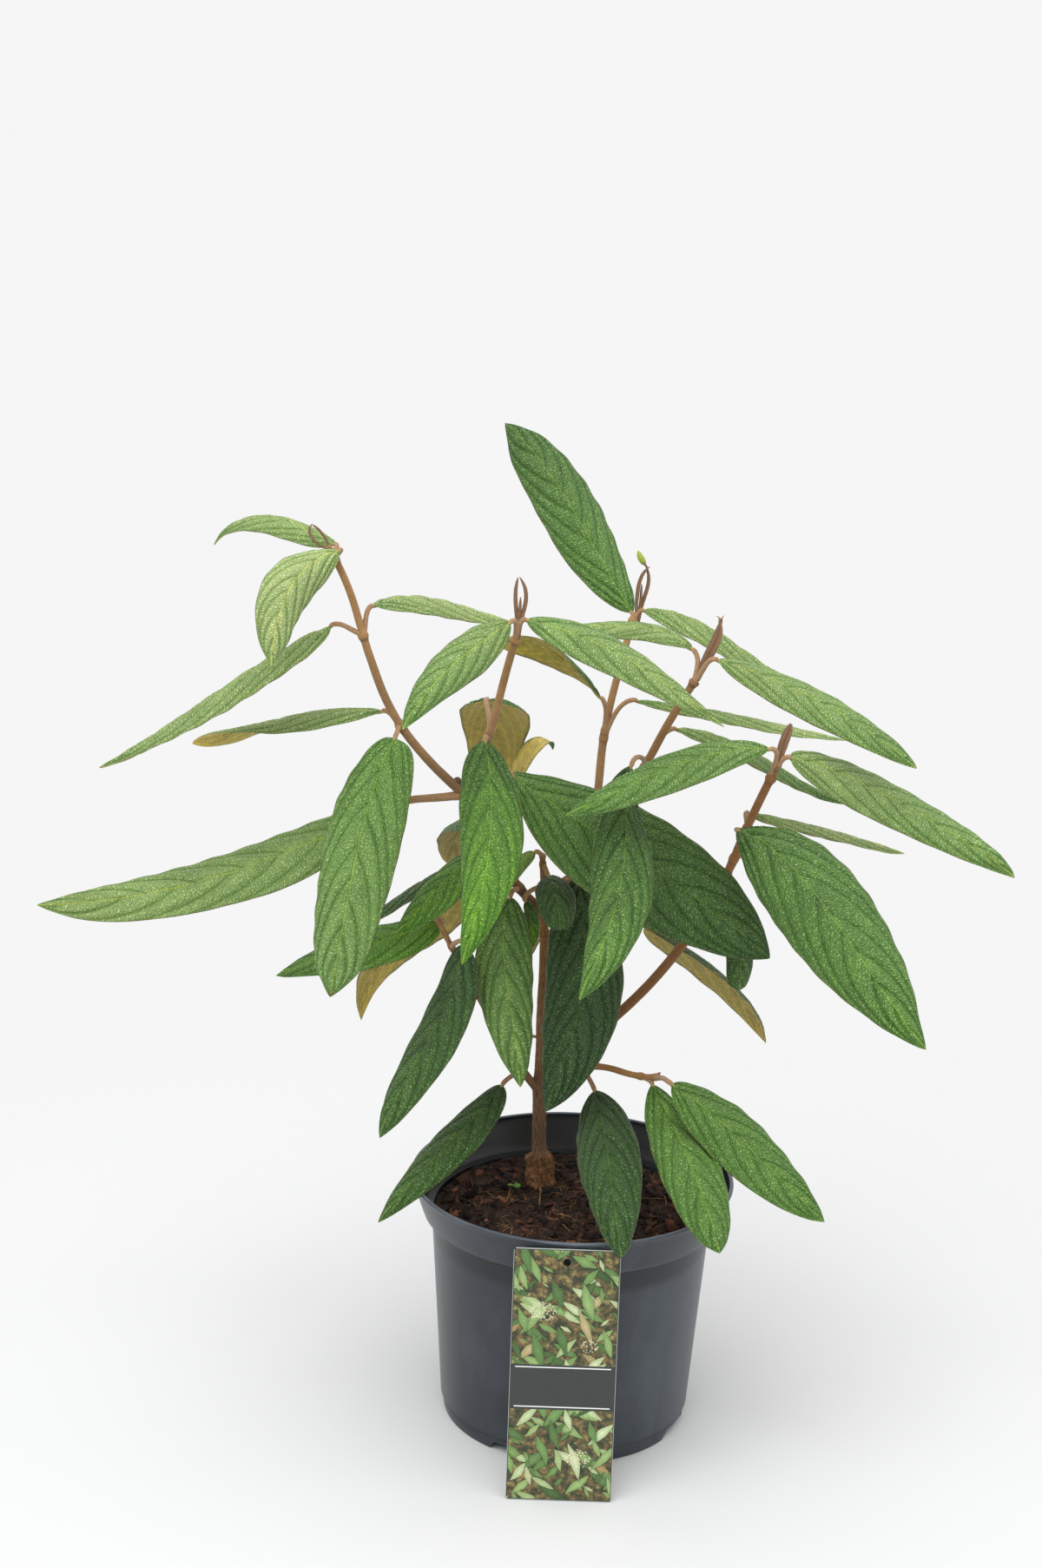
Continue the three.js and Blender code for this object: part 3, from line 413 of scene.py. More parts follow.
def mat_leaf_top():
    m, nt, b = new_mat("leaf_upper_side")
    place = attr(nt, "place", "Vector")
    tint = attr(nt, "tint")
    sep = node(nt, "ShaderNodeSeparateXYZ")
    nt.links.new(attr(nt, "veins", "Vector"), sep.inputs[0])
    side_vein, rib = absolute(nt, sep.outputs[0]), absolute(nt, sep.outputs[1])
    inner = ramp(nt, sep.outputs[2], [(0.3, 0.0), (1.0, 1.0)])
    warp = nt.nodes.new("ShaderNodeVectorMath")
    warp.operation = "ADD"
    nt.links.new(scaled(nt, place, (0.48, 0.66, 1)), warp.inputs[0])
    nt.links.new(scaled(nt, noise_color(nt, place, 0.22), (0.8, 0.8, 0.0)), warp.inputs[1])
    net = voronoi(nt, warp.outputs[0], 1.0, "DISTANCE_TO_EDGE", rand=0.95)
    wide = voronoi(nt, scaled(nt, warp.outputs[0], (0.36, 0.36, 1)), 1.0, "DISTANCE_TO_EDGE", rand=0.9)
    hills = ramp(nt, net, [(0.0, 0.0), (0.07, 0.30), (0.20, 0.78), (0.42, 1.0)])
    spots = noise(nt, place, 0.10, 3)
    fine = noise(nt, place, 2.2, 2)
    # painted shade: the net of creases between the raised cells is darkened
    c = mix(nt, tint, (0.40, 0.55, 0.36), ramp(nt, net, [(0.05, 1.0), (0.17, 0.0)]), "MULTIPLY")
    # painted highlight: the tops of the cells are made paler, a painted sheen
    c = mix(nt, c, (1.20, 1.13, 1.22), ramp(nt, net, [(0.16, 0.0), (0.40, 1.0)]), "MULTIPLY")
    # painted shade: the coarser quilt creases are darkened
    c = mix(nt, c, (0.72, 0.84, 0.68), ramp(nt, wide, [(0.02, 1.0), (0.12, 0.0)]), "MULTIPLY")
    # a milder painted shade in the cell creases, blended in on the paler tints
    soft = mix(nt, tint, (0.74, 0.83, 0.68), ramp(nt, net, [(0.05, 1.0), (0.22, 0.0)]), "MULTIPLY")
    light = node(nt, "ShaderNodeRGBToBW")
    nt.links.new(tint, light.inputs[0])
    c = mix(nt, c, soft, ramp(nt, light.outputs[0], [(0.16, 0.0), (0.42, 0.92)]))
    c = mix(nt, c, (1.20, 1.12, 1.12), ramp(nt, spots, [(0.45, 0.0), (0.72, 1.0)]), "MULTIPLY")
    # painted shade along the sunken side veins, with a pale line of the vein's own colour in their middle
    groove_painted_shade = mix(nt, c, (0.40, 0.56, 0.34), ramp(nt, side_vein, [(0.35, 1.0), (1.05, 0.0)]), "MULTIPLY")
    pale = mix(nt, tint, (1.10, 1.02, 0.56), 1.0, "MULTIPLY")
    groove_painted_shade = mix(nt, groove_painted_shade, pale, ramp(nt, side_vein, [(0.10, 0.55), (0.26, 0.0)]))
    c = mix(nt, c, groove_painted_shade, inner)
    # painted shade beside the sunken midrib; the pale middle line after it is the rib's own colour
    c = mix(nt, c, (0.62, 0.76, 0.52), ramp(nt, rib, [(0.5, 0.9), (1.3, 0.0)]), "MULTIPLY")
    c = mix(nt, c, mix(nt, tint, (1.30, 1.14, 0.66), 1.0, "MULTIPLY"), ramp(nt, rib, [(0.25, 0.9), (0.60, 0.0)]))
    nt.links.new(c, b.inputs["Base Color"])
    nt.links.new(ramp(nt, hills, [(0.1, 0.60), (0.9, 0.30)]), b.inputs["Roughness"])
    b.inputs["Specular IOR Level"].default_value = 0.6
    n0 = bump(nt, ramp(nt, wide, [(0.0, 0.0), (0.22, 1.0)]), 0.7, 0.0005)
    n1 = bump(nt, hills, 0.85, 0.0007, n0)
    n2 = bump(nt, fine, 0.20, 0.00012, n1)
    nt.links.new(n2, b.inputs["Normal"])
    return m


def mat_felt(name, gain, rough=0.95, speck=0.72):
    m, nt, b = new_mat(name)
    place = attr(nt, "place", "Vector")
    tint = attr(nt, "tint")
    fuzz = noise(nt, place, 1.5, 4, 0.7)
    spots = noise(nt, place, 0.28, 3)
    tufts = voronoi(nt, place, 1.15)
    c = mix(nt, tint, (speck, speck * 0.97, speck * 0.92), ramp(nt, fuzz, [(0.38, 1.0), (0.54, 0.0)]), "MULTIPLY")
    c = mix(nt, c, (1.34, 1.33, 1.28), ramp(nt, tufts, [(0.10, 0.9), (0.34, 0.0)]), "MULTIPLY")
    c = mix(nt, c, (gain, gain, gain * 0.95), ramp(nt, spots, [(0.4, 0.0), (0.7, 1.0)]), "MULTIPLY")
    nt.links.new(c, b.inputs["Base Color"])
    b.inputs["Roughness"].default_value = rough
    b.inputs["Specular IOR Level"].default_value = 0.25
    b.inputs["Sheen Weight"].default_value = 0.18
    b.inputs["Sheen Roughness"].default_value = 0.6
    n1 = bump(nt, fuzz, 0.7, 0.0004)
    nt.links.new(bump(nt, tufts, -0.5, 0.0004, n1), b.inputs["Normal"])
    return m


def mat_under():
    m, nt, b = new_mat("leaf_felted_underside")
    place = attr(nt, "place", "Vector")
    tint = attr(nt, "tint")
    sep = node(nt, "ShaderNodeSeparateXYZ")
    nt.links.new(attr(nt, "veins", "Vector"), sep.inputs[0])
    side_vein, rib = absolute(nt, sep.outputs[0]), absolute(nt, sep.outputs[1])
    warp = nt.nodes.new("ShaderNodeVectorMath")
    warp.operation = "ADD"
    nt.links.new(scaled(nt, place, (0.42, 0.58, 1)), warp.inputs[0])
    nt.links.new(scaled(nt, noise_color(nt, place, 0.30), (0.9, 0.9, 0.0)), warp.inputs[1])
    net = voronoi(nt, warp.outputs[0], 1.0, "DISTANCE_TO_EDGE", rand=0.95)
    fuzz = noise(nt, place, 2.2, 4, 0.65)
    spots = noise(nt, place, 0.22, 3)
    c = mix(nt, tint, (0.86, 0.87, 0.80), ramp(nt, net, [(0.22, 0.0), (0.5, 1.0)]), "MULTIPLY")
    c = mix(nt, c, (0.86, 0.85, 0.80), ramp(nt, fuzz, [(0.38, 1.0), (0.56, 0.0)]), "MULTIPLY")
    c = mix(nt, c, (1.22, 1.18, 1.10), ramp(nt, spots, [(0.4, 0.0), (0.7, 1.0)]), "MULTIPLY")
    c = mix(nt, c, (1.30, 1.16, 0.92), ramp(nt, side_vein, [(0.35, 0.9), (0.85, 0.0)]), "MULTIPLY")
    c = mix(nt, c, (1.25, 1.08, 0.85), ramp(nt, rib, [(0.6, 0.9), (1.3, 0.0)]), "MULTIPLY")
    nt.links.new(c, b.inputs["Base Color"])
    b.inputs["Roughness"].default_value = 0.92
    b.inputs["Specular IOR Level"].default_value = 0.25
    b.inputs["Sheen Weight"].default_value = 0.15
    b.inputs["Sheen Roughness"].default_value = 0.6
    n0 = bump(nt, ramp(nt, net, [(0.0, 1.0), (0.35, 0.0)]), 0.8, 0.0006)
    nt.links.new(bump(nt, fuzz, 0.5, 0.0003, n0), b.inputs["Normal"])
    return m


def mat_bark():
    m, nt, b = new_mat("bark_grey_brown")
    place = attr(nt, "place", "Vector")
    tint = attr(nt, "tint")
    streak = noise(nt, scaled(nt, place, (1.1, 0.16, 1)), 1.0, 5, 0.6)
    grain = noise(nt, place, 1.7, 4, 0.7)
    c = mix(nt, tint, (0.50, 0.45, 0.42), ramp(nt, streak, [(0.38, 1.0), (0.52, 0.0)]), "MULTIPLY")
    c = mix(nt, c, (1.35, 1.32, 1.28), ramp(nt, grain, [(0.52, 0.0), (0.70, 1.0)]), "MULTIPLY")
    nt.links.new(c, b.inputs["Base Color"])
    b.inputs["Roughness"].default_value = 0.88
    b.inputs["Specular IOR Level"].default_value = 0.3
    n1 = bump(nt, streak, 0.7, 0.0006)
    nt.links.new(bump(nt, grain, 0.5, 0.0003, n1), b.inputs["Normal"])
    return m


def mat_pot():
    m, nt, b = new_mat("pot_moulded_plastic")
    geo = node(nt, "ShaderNodeTexCoord").outputs["Object"]
    stain = noise(nt, scaled(nt, geo, (9, 9, 5)), 1.0, 6, 0.62)
    streaks = noise(nt, scaled(nt, geo, (55, 55, 6)), 1.0, 4, 0.6)
    dust = noise(nt, geo, 900.0, 3, 0.6)
    specks = voronoi(nt, geo, 55.0)
    base = tuple(srgb(38, 44, 51))
    c = mix(nt, base, tuple(srgb(70, 78, 86)), ramp(nt, stain, [(0.46, 0.0), (0.66, 0.80)]))
    c = mix(nt, c, tuple(srgb(38, 43, 49)), ramp(nt, streaks, [(0.50, 0.0), (0.72, 0.45)]))
    c = mix(nt, c, tuple(srgb(104, 110, 114)), ramp(nt, specks, [(0.0, 0.40), (0.035, 0.0)]))
    # the tint holds paler rim and collar bands, and painted shade in the foot groove and on the inner wall
    rim_bands_and_painted_shade = attr(nt, "tint")
    c = mix(nt, c, (1, 1, 1), 1.0, "MULTIPLY")
    c = mix(nt, c, rim_bands_and_painted_shade, 1.0, "MULTIPLY")
    nt.links.new(c, b.inputs["Base Color"])
    nt.links.new(ramp(nt, stain, [(0.35, 0.28), (0.7, 0.42)]), b.inputs["Roughness"])
    b.inputs["Specular IOR Level"].default_value = 0.5
    n1 = bump(nt, streaks, 0.06, 0.0003)
    nt.links.new(bump(nt, dust, 0.10, 0.0001, n1), b.inputs["Normal"])
    return m


def mat_soil():
    m, nt, b = new_mat("soil_bark_and_peat")
    geo = node(nt, "ShaderNodeTexCoord").outputs["Object"]
    big = noise(nt, geo, 60.0, 5, 0.6)
    grain = noise(nt, geo, 420.0, 4, 0.7)
    tint = attr(nt, "tint")
    c = mix(nt, tint, (0.36, 0.33, 0.34), ramp(nt, big, [(0.38, 1.0), (0.62, 0.0)]), "MULTIPLY")
    c = mix(nt, c, (1.6, 1.45, 1.3), ramp(nt, grain, [(0.5, 0.0), (0.72, 1.0)]), "MULTIPLY")
    nt.links.new(c, b.inputs["Base Color"])
    b.inputs["Roughness"].default_value = 0.92
    b.inputs["Specular IOR Level"].default_value = 0.3
    nt.links.new(bump(nt, grain, 0.8, 0.0007), b.inputs["Normal"])
    return m


TOP = mat_leaf_top()
UNDER = mat_under()
STALK = mat_felt("stalk_and_shoot_felt", 1.14, speck=0.60)
BARK = mat_bark()
POTM = mat_pot()
SOILM = mat_soil()

# ---- leaves ----------------------------------------------------------------------------------------
def profile(t, p, q):
    m = p / (p + q)
    return np.clip(t, 1e-9, 1) ** p * np.clip(1 - t, 0, 1) ** q / (m ** p * (1 - m) ** q)


def half_blade(k, fold):
    """across and down, per unit half width, and the slope, at k = 0 rib .. 1 margin"""
    n = 12
    u = (np.arange(n) + 0.5) / n
    ang = np.radians(fold + CUP * u[None, :] * k[:, None])
    return np.cos(ang).mean(1) * k, -np.sin(ang).mean(1) * k, np.radians(fold + CUP * k)


STEP = 0.98
OLIVE = srgb(158, 148, 86)
FELT = srgb(164, 130, 96)


def leaf(soup, row, look, seed):
    (name, limb, at, stalk, azs, rises, rolls, L, W, fold, pe, qe, lift) = row
    top_a, top_b, under, wave = look["a"], look["b"], look.get("under", OLIVE), look.get("wave", 1.0)
    F = on(limb, at)
    B = F + dirs(stalk[1], stalk[2]) * stalk[0]

    def fr(t):
        az, e, r = bend(azs, t), bend(rises, t), np.radians(bend(rolls, t))
        T = dirs(az, e)
        a = np.radians(az)
        S = np.stack([-np.sin(a), np.cos(a), 0 * a], -1)
        N = np.cross(T, S)
        c, s = np.cos(r)[..., None], np.sin(r)[..., None]
        return T, S * c + N * s, -S * s + N * c

    nt = max(24, int(round(L / STEP)))
    nh = max(9, int(round(W / 2 / STEP / 3)) * 3)
    x = np.linspace(0, 1, nt + 1)
    t = x - 0.50 * np.sin(2 * np.pi * x) / (2 * np.pi)
    fine = np.linspace(0, 1, 401)
    tm = (fine[1:] + fine[:-1]) / 2
    M = np.vstack([[0, 0, 0], np.cumsum(dirs(bend(azs, tm), bend(rises, tm)) * L / 400, 0)]) + B
    mid = np.stack([np.interp(t, fine, M[:, i]) for i in range(3)], -1)
    T, S, N = fr(t)
    s = np.linspace(-1, 1, 2 * nh + 1)
    k = np.abs(s)
    cx, cy, slope = half_blade(k, fold)
    sg = np.sign(s)
    w = profile(t, pe, qe) * W / 2
    # the last part runs to a point
    ta = look.get("tip", 0.90)
    wa = float(profile(np.array([ta]), pe, qe)[0]) * W / 2
    w = np.where(t > ta, np.minimum(w, wa * (np.clip(1 - t, 0, 1) / (1 - ta)) ** 0.82), w)
    # outline is not quite regular
    side = np.where(s < 0, 0, 1)
    ww = w[:, None] * (1 + 0.035 * (vnoise(t[:, None] * 6 + 3 * side[None, :], 0 * s[None, :] + seed, seed) - 0.5) * 2)
    tt, ss, kk = t[:, None] + 0 * s[None, :], s[None, :] + 0 * t[:, None], k[None, :] + 0 * t[:, None]
    # veins: bowed side veins that turn along the margin
    a = 1.35 * W / 2 / L
    bb = 1.25 * W / 2 / L + 0.03
    phi = tt - a * kk - bb * kk ** 2.6
    nv = 5 if L < 80 else (6 if L < 150 else 7)
    g = np.random.default_rng(seed)
    dist = np.full(phi.shape, 99.0)
    bul = np.zeros(phi.shape)
    vein = np.zeros(phi.shape)
    grad = np.sqrt((1 / L) ** 2 + ((a + 2.6 * bb * kk ** 1.6) / np.maximum(ww, 1.0)) ** 2)
    for sd in (0, 1):
        tj = (np.arange(-nv, 2 * nv + 2) + 0.35 * sd + 0.30 * (g.random(3 * nv + 2) - 0.5)) / nv
        msk = (ss < 0) if sd == 0 else (ss >= 0)
        ph = phi[msk]
        idx = np.interp(ph, tj, np.arange(len(tj)))
        near = tj[np.clip(np.round(idx).astype(int), 0, len(tj) - 1)]
        dist[msk] = np.abs(ph - near) / grad[msk]
        slope_i = grad[msk] / np.interp(ph, (tj[1:] + tj[:-1]) / 2, np.diff(tj))
        vein[msk] = np.sin(np.pi * idx) / (np.pi * slope_i)
        fr_ = idx - np.floor(idx)
        bul[msk] = np.sin(np.pi * fr_) ** 0.8
    fade = np.clip(tt / 0.06, 0, 1) * np.clip((1 - tt) / 0.12, 0, 1)
    edge_fade = 1 - kk ** 5
    X, Y = ss * ww, phi * L
    rib = np.abs(ss) * ww
    size = np.clip(W / 42.0, 0.45, 1.25)
    d = look.get("quilt", 1.25) * size * bul * edge_fade * fade
    d -= 0.62 * size * np.exp(-(dist / 1.1) ** 2) * edge_fade * fade
    d -= 0.80 * np.exp(-(rib / 1.3) ** 2) * np.clip((1 - tt) / 0.2, 0, 1)
    d += 0.32 * size * (np.clip(cells(X / 4.2 + seed, (tt * L - 0.7 * rib) / 3.1, seed + 21) / 0.45, 0, 1) - 0.6) * edge_fade * fade
    # wavy margin and gentle warps
    ph0 = g.random(2) * 6.28
    lam = 19 + 12 * g.random(2)
    wav = np.where(ss < 0, np.sin(2 * np.pi * tt * L / lam[0] + ph0[0]), np.sin(2 * np.pi * tt * L / lam[1] + ph0[1]))
    d += wave * 0.45 * size * kk ** 4 * wav * np.sin(np.pi * np.clip(tt, 0, 1)) ** 0.5
    d += wave * 2.2 * size * (fbm(tt * L / 55 + seed, kk * ww / 30 + 3 * side[None, :], seed + 3, 2) - 0.5) * kk
    nx = (sg * np.sin(slope))[None, :, None] * S[:, None] + np.cos(slope)[None, :, None] * N[:, None]
    base = mid[:, None] + S[:, None] * (sg * cx)[None, :, None] * ww[..., None] + N[:, None] * cy[None, :, None] * ww[..., None]
    th = 0.75 * np.sqrt(np.clip(1 - kk ** 6, 0, 1)) * np.clip(np.minimum(tt, 1 - tt) / 0.02, 0, 1) ** 0.5
    top = base + nx * (d + th / 2)[..., None]
    ridge = 0.55 * np.exp(-(dist / 0.8) ** 2) * edge_fade * fade + 0.5 * np.exp(-(rib / 1.2) ** 2) * (1 - tt)
    # the coarser underside stays below every groove of the upper side
    dm = d.copy()
    for di in (-1, 0, 1):
        for dj in range(-3, 4):
            q = np.pad(d, ((1, 1), (3, 3)), mode="edge")
            dm = np.minimum(dm, q[1 + di:1 + di + d.shape[0], 3 + dj:3 + dj + d.shape[1]])
    low = base + nx * (dm - th * 0.55 - 0.10 * np.minimum(th, 0.7) - ridge)[..., None]
    # colours
    mott = fbm(X / 9 + seed, Y / 12, seed + 9, 3) - 0.5
    mixt = np.clip(tt * 1.15 + 0.5 * mott, 0, 1)[..., None]
    c = top_a * (1 - mixt) + top_b * mixt
    c = c * (1 + 0.30 * mott)[..., None]
    kv = (0.30 * np.exp(-(dist / 0.55) ** 2) * fade * edge_fade)[..., None]
    ke = np.clip((kk - 0.955) / 0.03, 0, 1)[..., None] * 0.55
    c = c * (1 - ke) + srgb(158, 142, 96) * ke
    if look.get("brown"):
        kb = np.clip((tt - (1 - look["brown"]) - 0.04 * mott) / 0.02, 0, 1)[..., None] * 0.9
        c = c * (1 - kb) + srgb(120, 92, 58) * kb
    cu = under * (1 + 0.18 * mott)[..., None]
    cu = cu * (1 - kv) + srgb(206, 190, 128) * kv
    if "under_b" in look:
        cu = cu * (1 - tt[..., None]) + look["under_b"] * tt[..., None]
    uv = np.stack([X + 37.0 * (seed % 97), tt * L - 0.45 * np.abs(X) + 11.0 * (seed % 89), 0 * X], -1)
    # weld: top grid for rows 1..nt-1, one point at each end; underside on every third column
    rows = slice(1, nt)
    nr, nc = nt - 1, 2 * nh + 1
    topv, topc, topu = top[rows].reshape(-1, 3), c[rows].reshape(-1, 3), uv[rows].reshape(-1, 3)
    cols = np.arange(0, nc, 3)
    inner = cols[1:-1]
    lowv, lowc, lowu = low[rows][:, inner].reshape(-1, 3), cu[rows][:, inner].reshape(-1, 3), uv[rows][:, inner].reshape(-1, 3)
    ni = len(inner)
    vn = np.stack([vein, X, (1 - kk) * ww], -1)
    E = np.vstack([vn[rows].reshape(-1, 3), vn[rows][:, inner].reshape(-1, 3), vn[0, nh][None], vn[nt, nh][None]])
    V = np.vstack([topv, lowv, base[0, nh][None], base[nt, nh][None]])
    C = np.vstack([topc, lowc, c[0, nh][None], c[nt, nh][None]])
    U = np.vstack([topu, lowu, uv[0, nh][None], uv[nt, nh][None]])
    ib, it = len(V) - 2, len(V) - 1
    qt = grid_quads(nr, nc, flip=True)
    # underside index table, its first and last columns are the margins of the top grid
    low_i = np.zeros((nr, ni + 2), int)
    low_i[:, 0] = np.arange(nr) * nc
    low_i[:, -1] = np.arange(nr) * nc + nc - 1
    low_i[:, 1:-1] = nr * nc + np.arange(nr)[:, None] * ni + np.arange(ni)[None, :]
    # margin strips of the underside span three columns of the top grid's edge rows at the ends
    ql = np.stack([low_i[:-1, :-1], low_i[:-1, 1:], low_i[1:, 1:], low_i[1:, :-1]], -1).reshape(-1, 4)
    tt0 = np.stack([np.full(nc - 1, ib), np.arange(nc - 1) + 1, np.arange(nc - 1)], 1)
    r1 = (nr - 1) * nc
    tt1 = np.stack([np.full(nc - 1, it), r1 + np.arange(nc - 1), r1 + np.arange(nc - 1) + 1], 1)
    tl0 = np.stack([np.full(ni + 1, ib), low_i[0, :-1], low_i[0, 1:]], 1)
    tl1 = np.stack([np.full(ni + 1, it), low_i[-1, 1:], low_i[-1, :-1]], 1)
    tt0, tt1, tl0, tl1 = tt0[:, ::-1], tt1[:, ::-1], tl0[:, ::-1], tl1[:, ::-1]
    quads = np.vstack([qt[:, ::-1], ql[:, ::-1]])
    m4 = np.r_[np.zeros(len(qt), int), np.ones(len(ql), int)]
    tris = np.vstack([tt0, tt1, tl0, tl1])
    m3 = np.r_[np.zeros(len(tt0) + len(tt1), int), np.ones(len(tl0) + len(tl1), int)]
    soup.add(V, quads, tris, m4, m3, C, U, E)
    # stalk, going on as the rib under the blade
    out = unit(dirs(stalk[1], stalk[2]) + lift * tangent(limb, at))
    Ls = stalk[0]
    T0 = T[0]
    p0, p1, p2, p3 = F, F + out * 0.45 * Ls, B - T0 * 0.35 * Ls, B
    u = np.linspace(0, 1, max(8, int(Ls / 1.2)))[:, None]
    P = (1 - u) ** 3 * p0 + 3 * (1 - u) ** 2 * u * p1 + 3 * (1 - u) * u ** 2 * p2 + u ** 3 * p3
    rp = look.get("stalk_r", PETIOLE_R) * np.interp(u[:, 0], [0, 0.12, 0.5, 0.9, 1], [1.7, 1.3, 1.15, 1.2, 1.1])
    tr = np.linspace(0.012, 0.88, 34)
    Mr = np.stack([np.interp(tr, fine, M[:, i]) for i in range(3)], -1)
    _, _, Nr = fr(tr)
    rr = np.interp(tr, [0, 0.1, 0.5, 0.88], [1.15, 0.95, 0.6, 0.25]) * look.get("stalk_r", PETIOLE_R) / 1.45
    P = np.vstack([P[:-1], Mr - Nr * (rr * 0.75 + 0.45 + 0.75 * np.clip((1 - tr) / 0.2, 0, 1) * np.clip(tr / 0.05, 0, 1))[:, None]])
    R = np.r_[rp[:-1], rr]
    col = np.vstack([np.repeat(look.get("stalk", FELT)[None], len(rp) - 1, 0), np.repeat((under * 1.12)[None], len(rr), 0)])
    tube(soup, P, R, 10, col, 2, relief=lambda th, sd, r: 0.05 * r * (vnoise(th * 1.6, sd / 1.3, seed) - 0.5))
    return F, out

# a short palette of plain colours, dealt to the base and tip of each leaf; the greens and underside shades differ
# partly in the leaves' own tone and partly as painted light and shade, the darker ones dealt to shaded lower and inner
# leaves and the paler ones to lit upper leaves
GREEN_DARKEST = (46, 82, 22)
GREEN_DARK = (66, 102, 36)
GREEN_DEEP = (88, 124, 50)
GREEN_MIDDLE = (108, 148, 64)
GREEN_SOFT = (130, 162, 88)
GREEN_LIGHT = (150, 172, 104)
GREEN_PALE = (174, 190, 126)
GREEN_FRESH = (110, 162, 34)
UNDER_LIGHT = (180, 168, 92)
UNDER_DARK = (162, 152, 66)
LOOKS = {
    "far_left_1": dict(a=GREEN_LIGHT, b=GREEN_LIGHT, under=UNDER_LIGHT),
    "far_left_2": dict(a=GREEN_PALE, b=GREEN_PALE),
    "far_left_3": dict(a=GREEN_LIGHT, b=GREEN_LIGHT, tip=0.93),
    "far_left_4": dict(a=GREEN_LIGHT, b=GREEN_PALE),
    "far_left_5": dict(a=GREEN_LIGHT, b=GREEN_LIGHT, under=UNDER_LIGHT, tip=0.95),
    "far_left_6": dict(a=GREEN_MIDDLE, b=GREEN_SOFT, brown=0.014),
    "far_left_7": dict(a=GREEN_SOFT, b=GREEN_LIGHT, stalk_r=2.3),
    "centre_left_1": dict(a=GREEN_LIGHT, b=GREEN_SOFT),
    "centre_left_2": dict(a=GREEN_SOFT, b=GREEN_LIGHT),
    "centre_left_3": dict(a=GREEN_DEEP, b=GREEN_FRESH, brown=0.014, tip=0.93),
    "centre_left_4": dict(a=GREEN_DEEP, b=GREEN_DEEP, under=UNDER_LIGHT, tip=0.97),
    "centre_left_5": dict(a=GREEN_MIDDLE, b=GREEN_MIDDLE, under=UNDER_LIGHT, tip=0.97),
    "centre_right_1": dict(a=GREEN_MIDDLE, b=GREEN_DEEP),
    "centre_right_2": dict(a=GREEN_LIGHT, b=GREEN_LIGHT),
    "centre_right_3": dict(a=GREEN_DEEP, b=GREEN_DEEP, under=UNDER_DARK),
    "centre_right_4": dict(a=GREEN_SOFT, b=GREEN_PALE),
    "right_1": dict(a=GREEN_LIGHT, b=GREEN_LIGHT, tip=0.92),
    "right_2": dict(a=GREEN_LIGHT, b=GREEN_SOFT, tip=0.92),
    "right_3": dict(a=GREEN_LIGHT, b=GREEN_MIDDLE),
    "right_4": dict(a=GREEN_DARK, b=GREEN_MIDDLE),
    "far_right_1": dict(a=GREEN_SOFT, b=GREEN_MIDDLE),
    "far_right_2": dict(a=GREEN_LIGHT, b=GREEN_SOFT),
    "far_right_3": dict(a=GREEN_DEEP, b=GREEN_MIDDLE),
    "far_right_4": dict(a=GREEN_LIGHT, b=GREEN_PALE),
    "middle_1": dict(a=GREEN_MIDDLE, b=GREEN_DARK, tip=0.93),
    "middle_2": dict(a=GREEN_DARKEST, b=GREEN_DARKEST, tip=0.93),
    "low_left_1": dict(a=GREEN_DEEP, b=GREEN_SOFT),
    "low_left_2": dict(a=GREEN_DARKEST, b=GREEN_DEEP),
    "low_left_3": dict(a=GREEN_DEEP, b=GREEN_FRESH, brown=0.012, tip=0.95),
    "low_left_4": dict(a=GREEN_FRESH, b=GREEN_MIDDLE, tip=0.95),
    "low_left_5": dict(a=GREEN_DARKEST, b=GREEN_DARK, under=UNDER_LIGHT, tip=0.94),
    "low_left_6": dict(a=GREEN_DARK, b=GREEN_DEEP),
    "inner_1": dict(a=GREEN_LIGHT, b=GREEN_FRESH, tip=0.96),
    "inner_2": dict(a=GREEN_DARKEST, b=GREEN_DARK, tip=0.985),
    "inner_3": dict(a=GREEN_DARK, b=GREEN_FRESH, tip=0.95),
    "low_right_1": dict(a=GREEN_DARK, b=GREEN_DARK, under=UNDER_LIGHT),
    "low_right_2": dict(a=GREEN_DARKEST, b=GREEN_DEEP, tip=0.97),
    "skirt_1": dict(a=GREEN_DARKEST, b=GREEN_DEEP, tip=0.95),
    "skirt_2": dict(a=GREEN_DARKEST, b=GREEN_DARK, tip=0.95),
    "skirt_3": dict(a=GREEN_MIDDLE, b=GREEN_MIDDLE, tip=0.95),
    "skirt_4": dict(a=GREEN_MIDDLE, b=GREEN_MIDDLE, tip=0.94),
    "back_1": dict(a=GREEN_MIDDLE, b=GREEN_MIDDLE),
    "back_2": dict(a=GREEN_DARK, b=GREEN_DEEP),
    "back_3": dict(a=GREEN_DEEP, b=GREEN_DEEP),
    "back_4": dict(a=GREEN_DEEP, b=GREEN_DEEP),
}
for k in LOOKS.values():
    for kk in ("a", "b", "under", "under_b"):
        if kk in k:
            k[kk] = srgb(*k[kk])

groups = {}
for row in LEAVES:
    groups.setdefault(row[0].rsplit("_", 1)[0], []).append(row)
merged = {"far_left": groups["far_left"][:5], "far_left_low": groups["far_left"][5:]}
for g, rows in groups.items():
    if g != "far_left":
        merged.setdefault("low_right" if g == "inner" else g, []).extend(rows)
seed = 100
for g, rows in merged.items():
    soup = Soup()
    for row in rows:
        seed += 1
        leaf(soup, row, LOOKS[row[0]], seed)
    soup.build("leaves_" + g, [TOP, UNDER, STALK], ["leaf_" + r[0] for r in rows])

# ---- stems -----------------------------------------------------------------------------------------
GREY, TAN, GREEN_TAN = srgb(112, 90, 72), srgb(160, 122, 78), srgb(156, 124, 78)
DARKER = {"shoot_far_right": (0.80, 0.64, 0.50), "shoot_right": (0.84, 0.78, 0.70), "twig_low_right": (1.05, 0.95, 0.78), "shoot_inner": (0.75, 0.7, 0.62)}
NODES_ON = {}
for row in LEAVES:
    NODES_ON.setdefault(row[1], []).append(row[2])


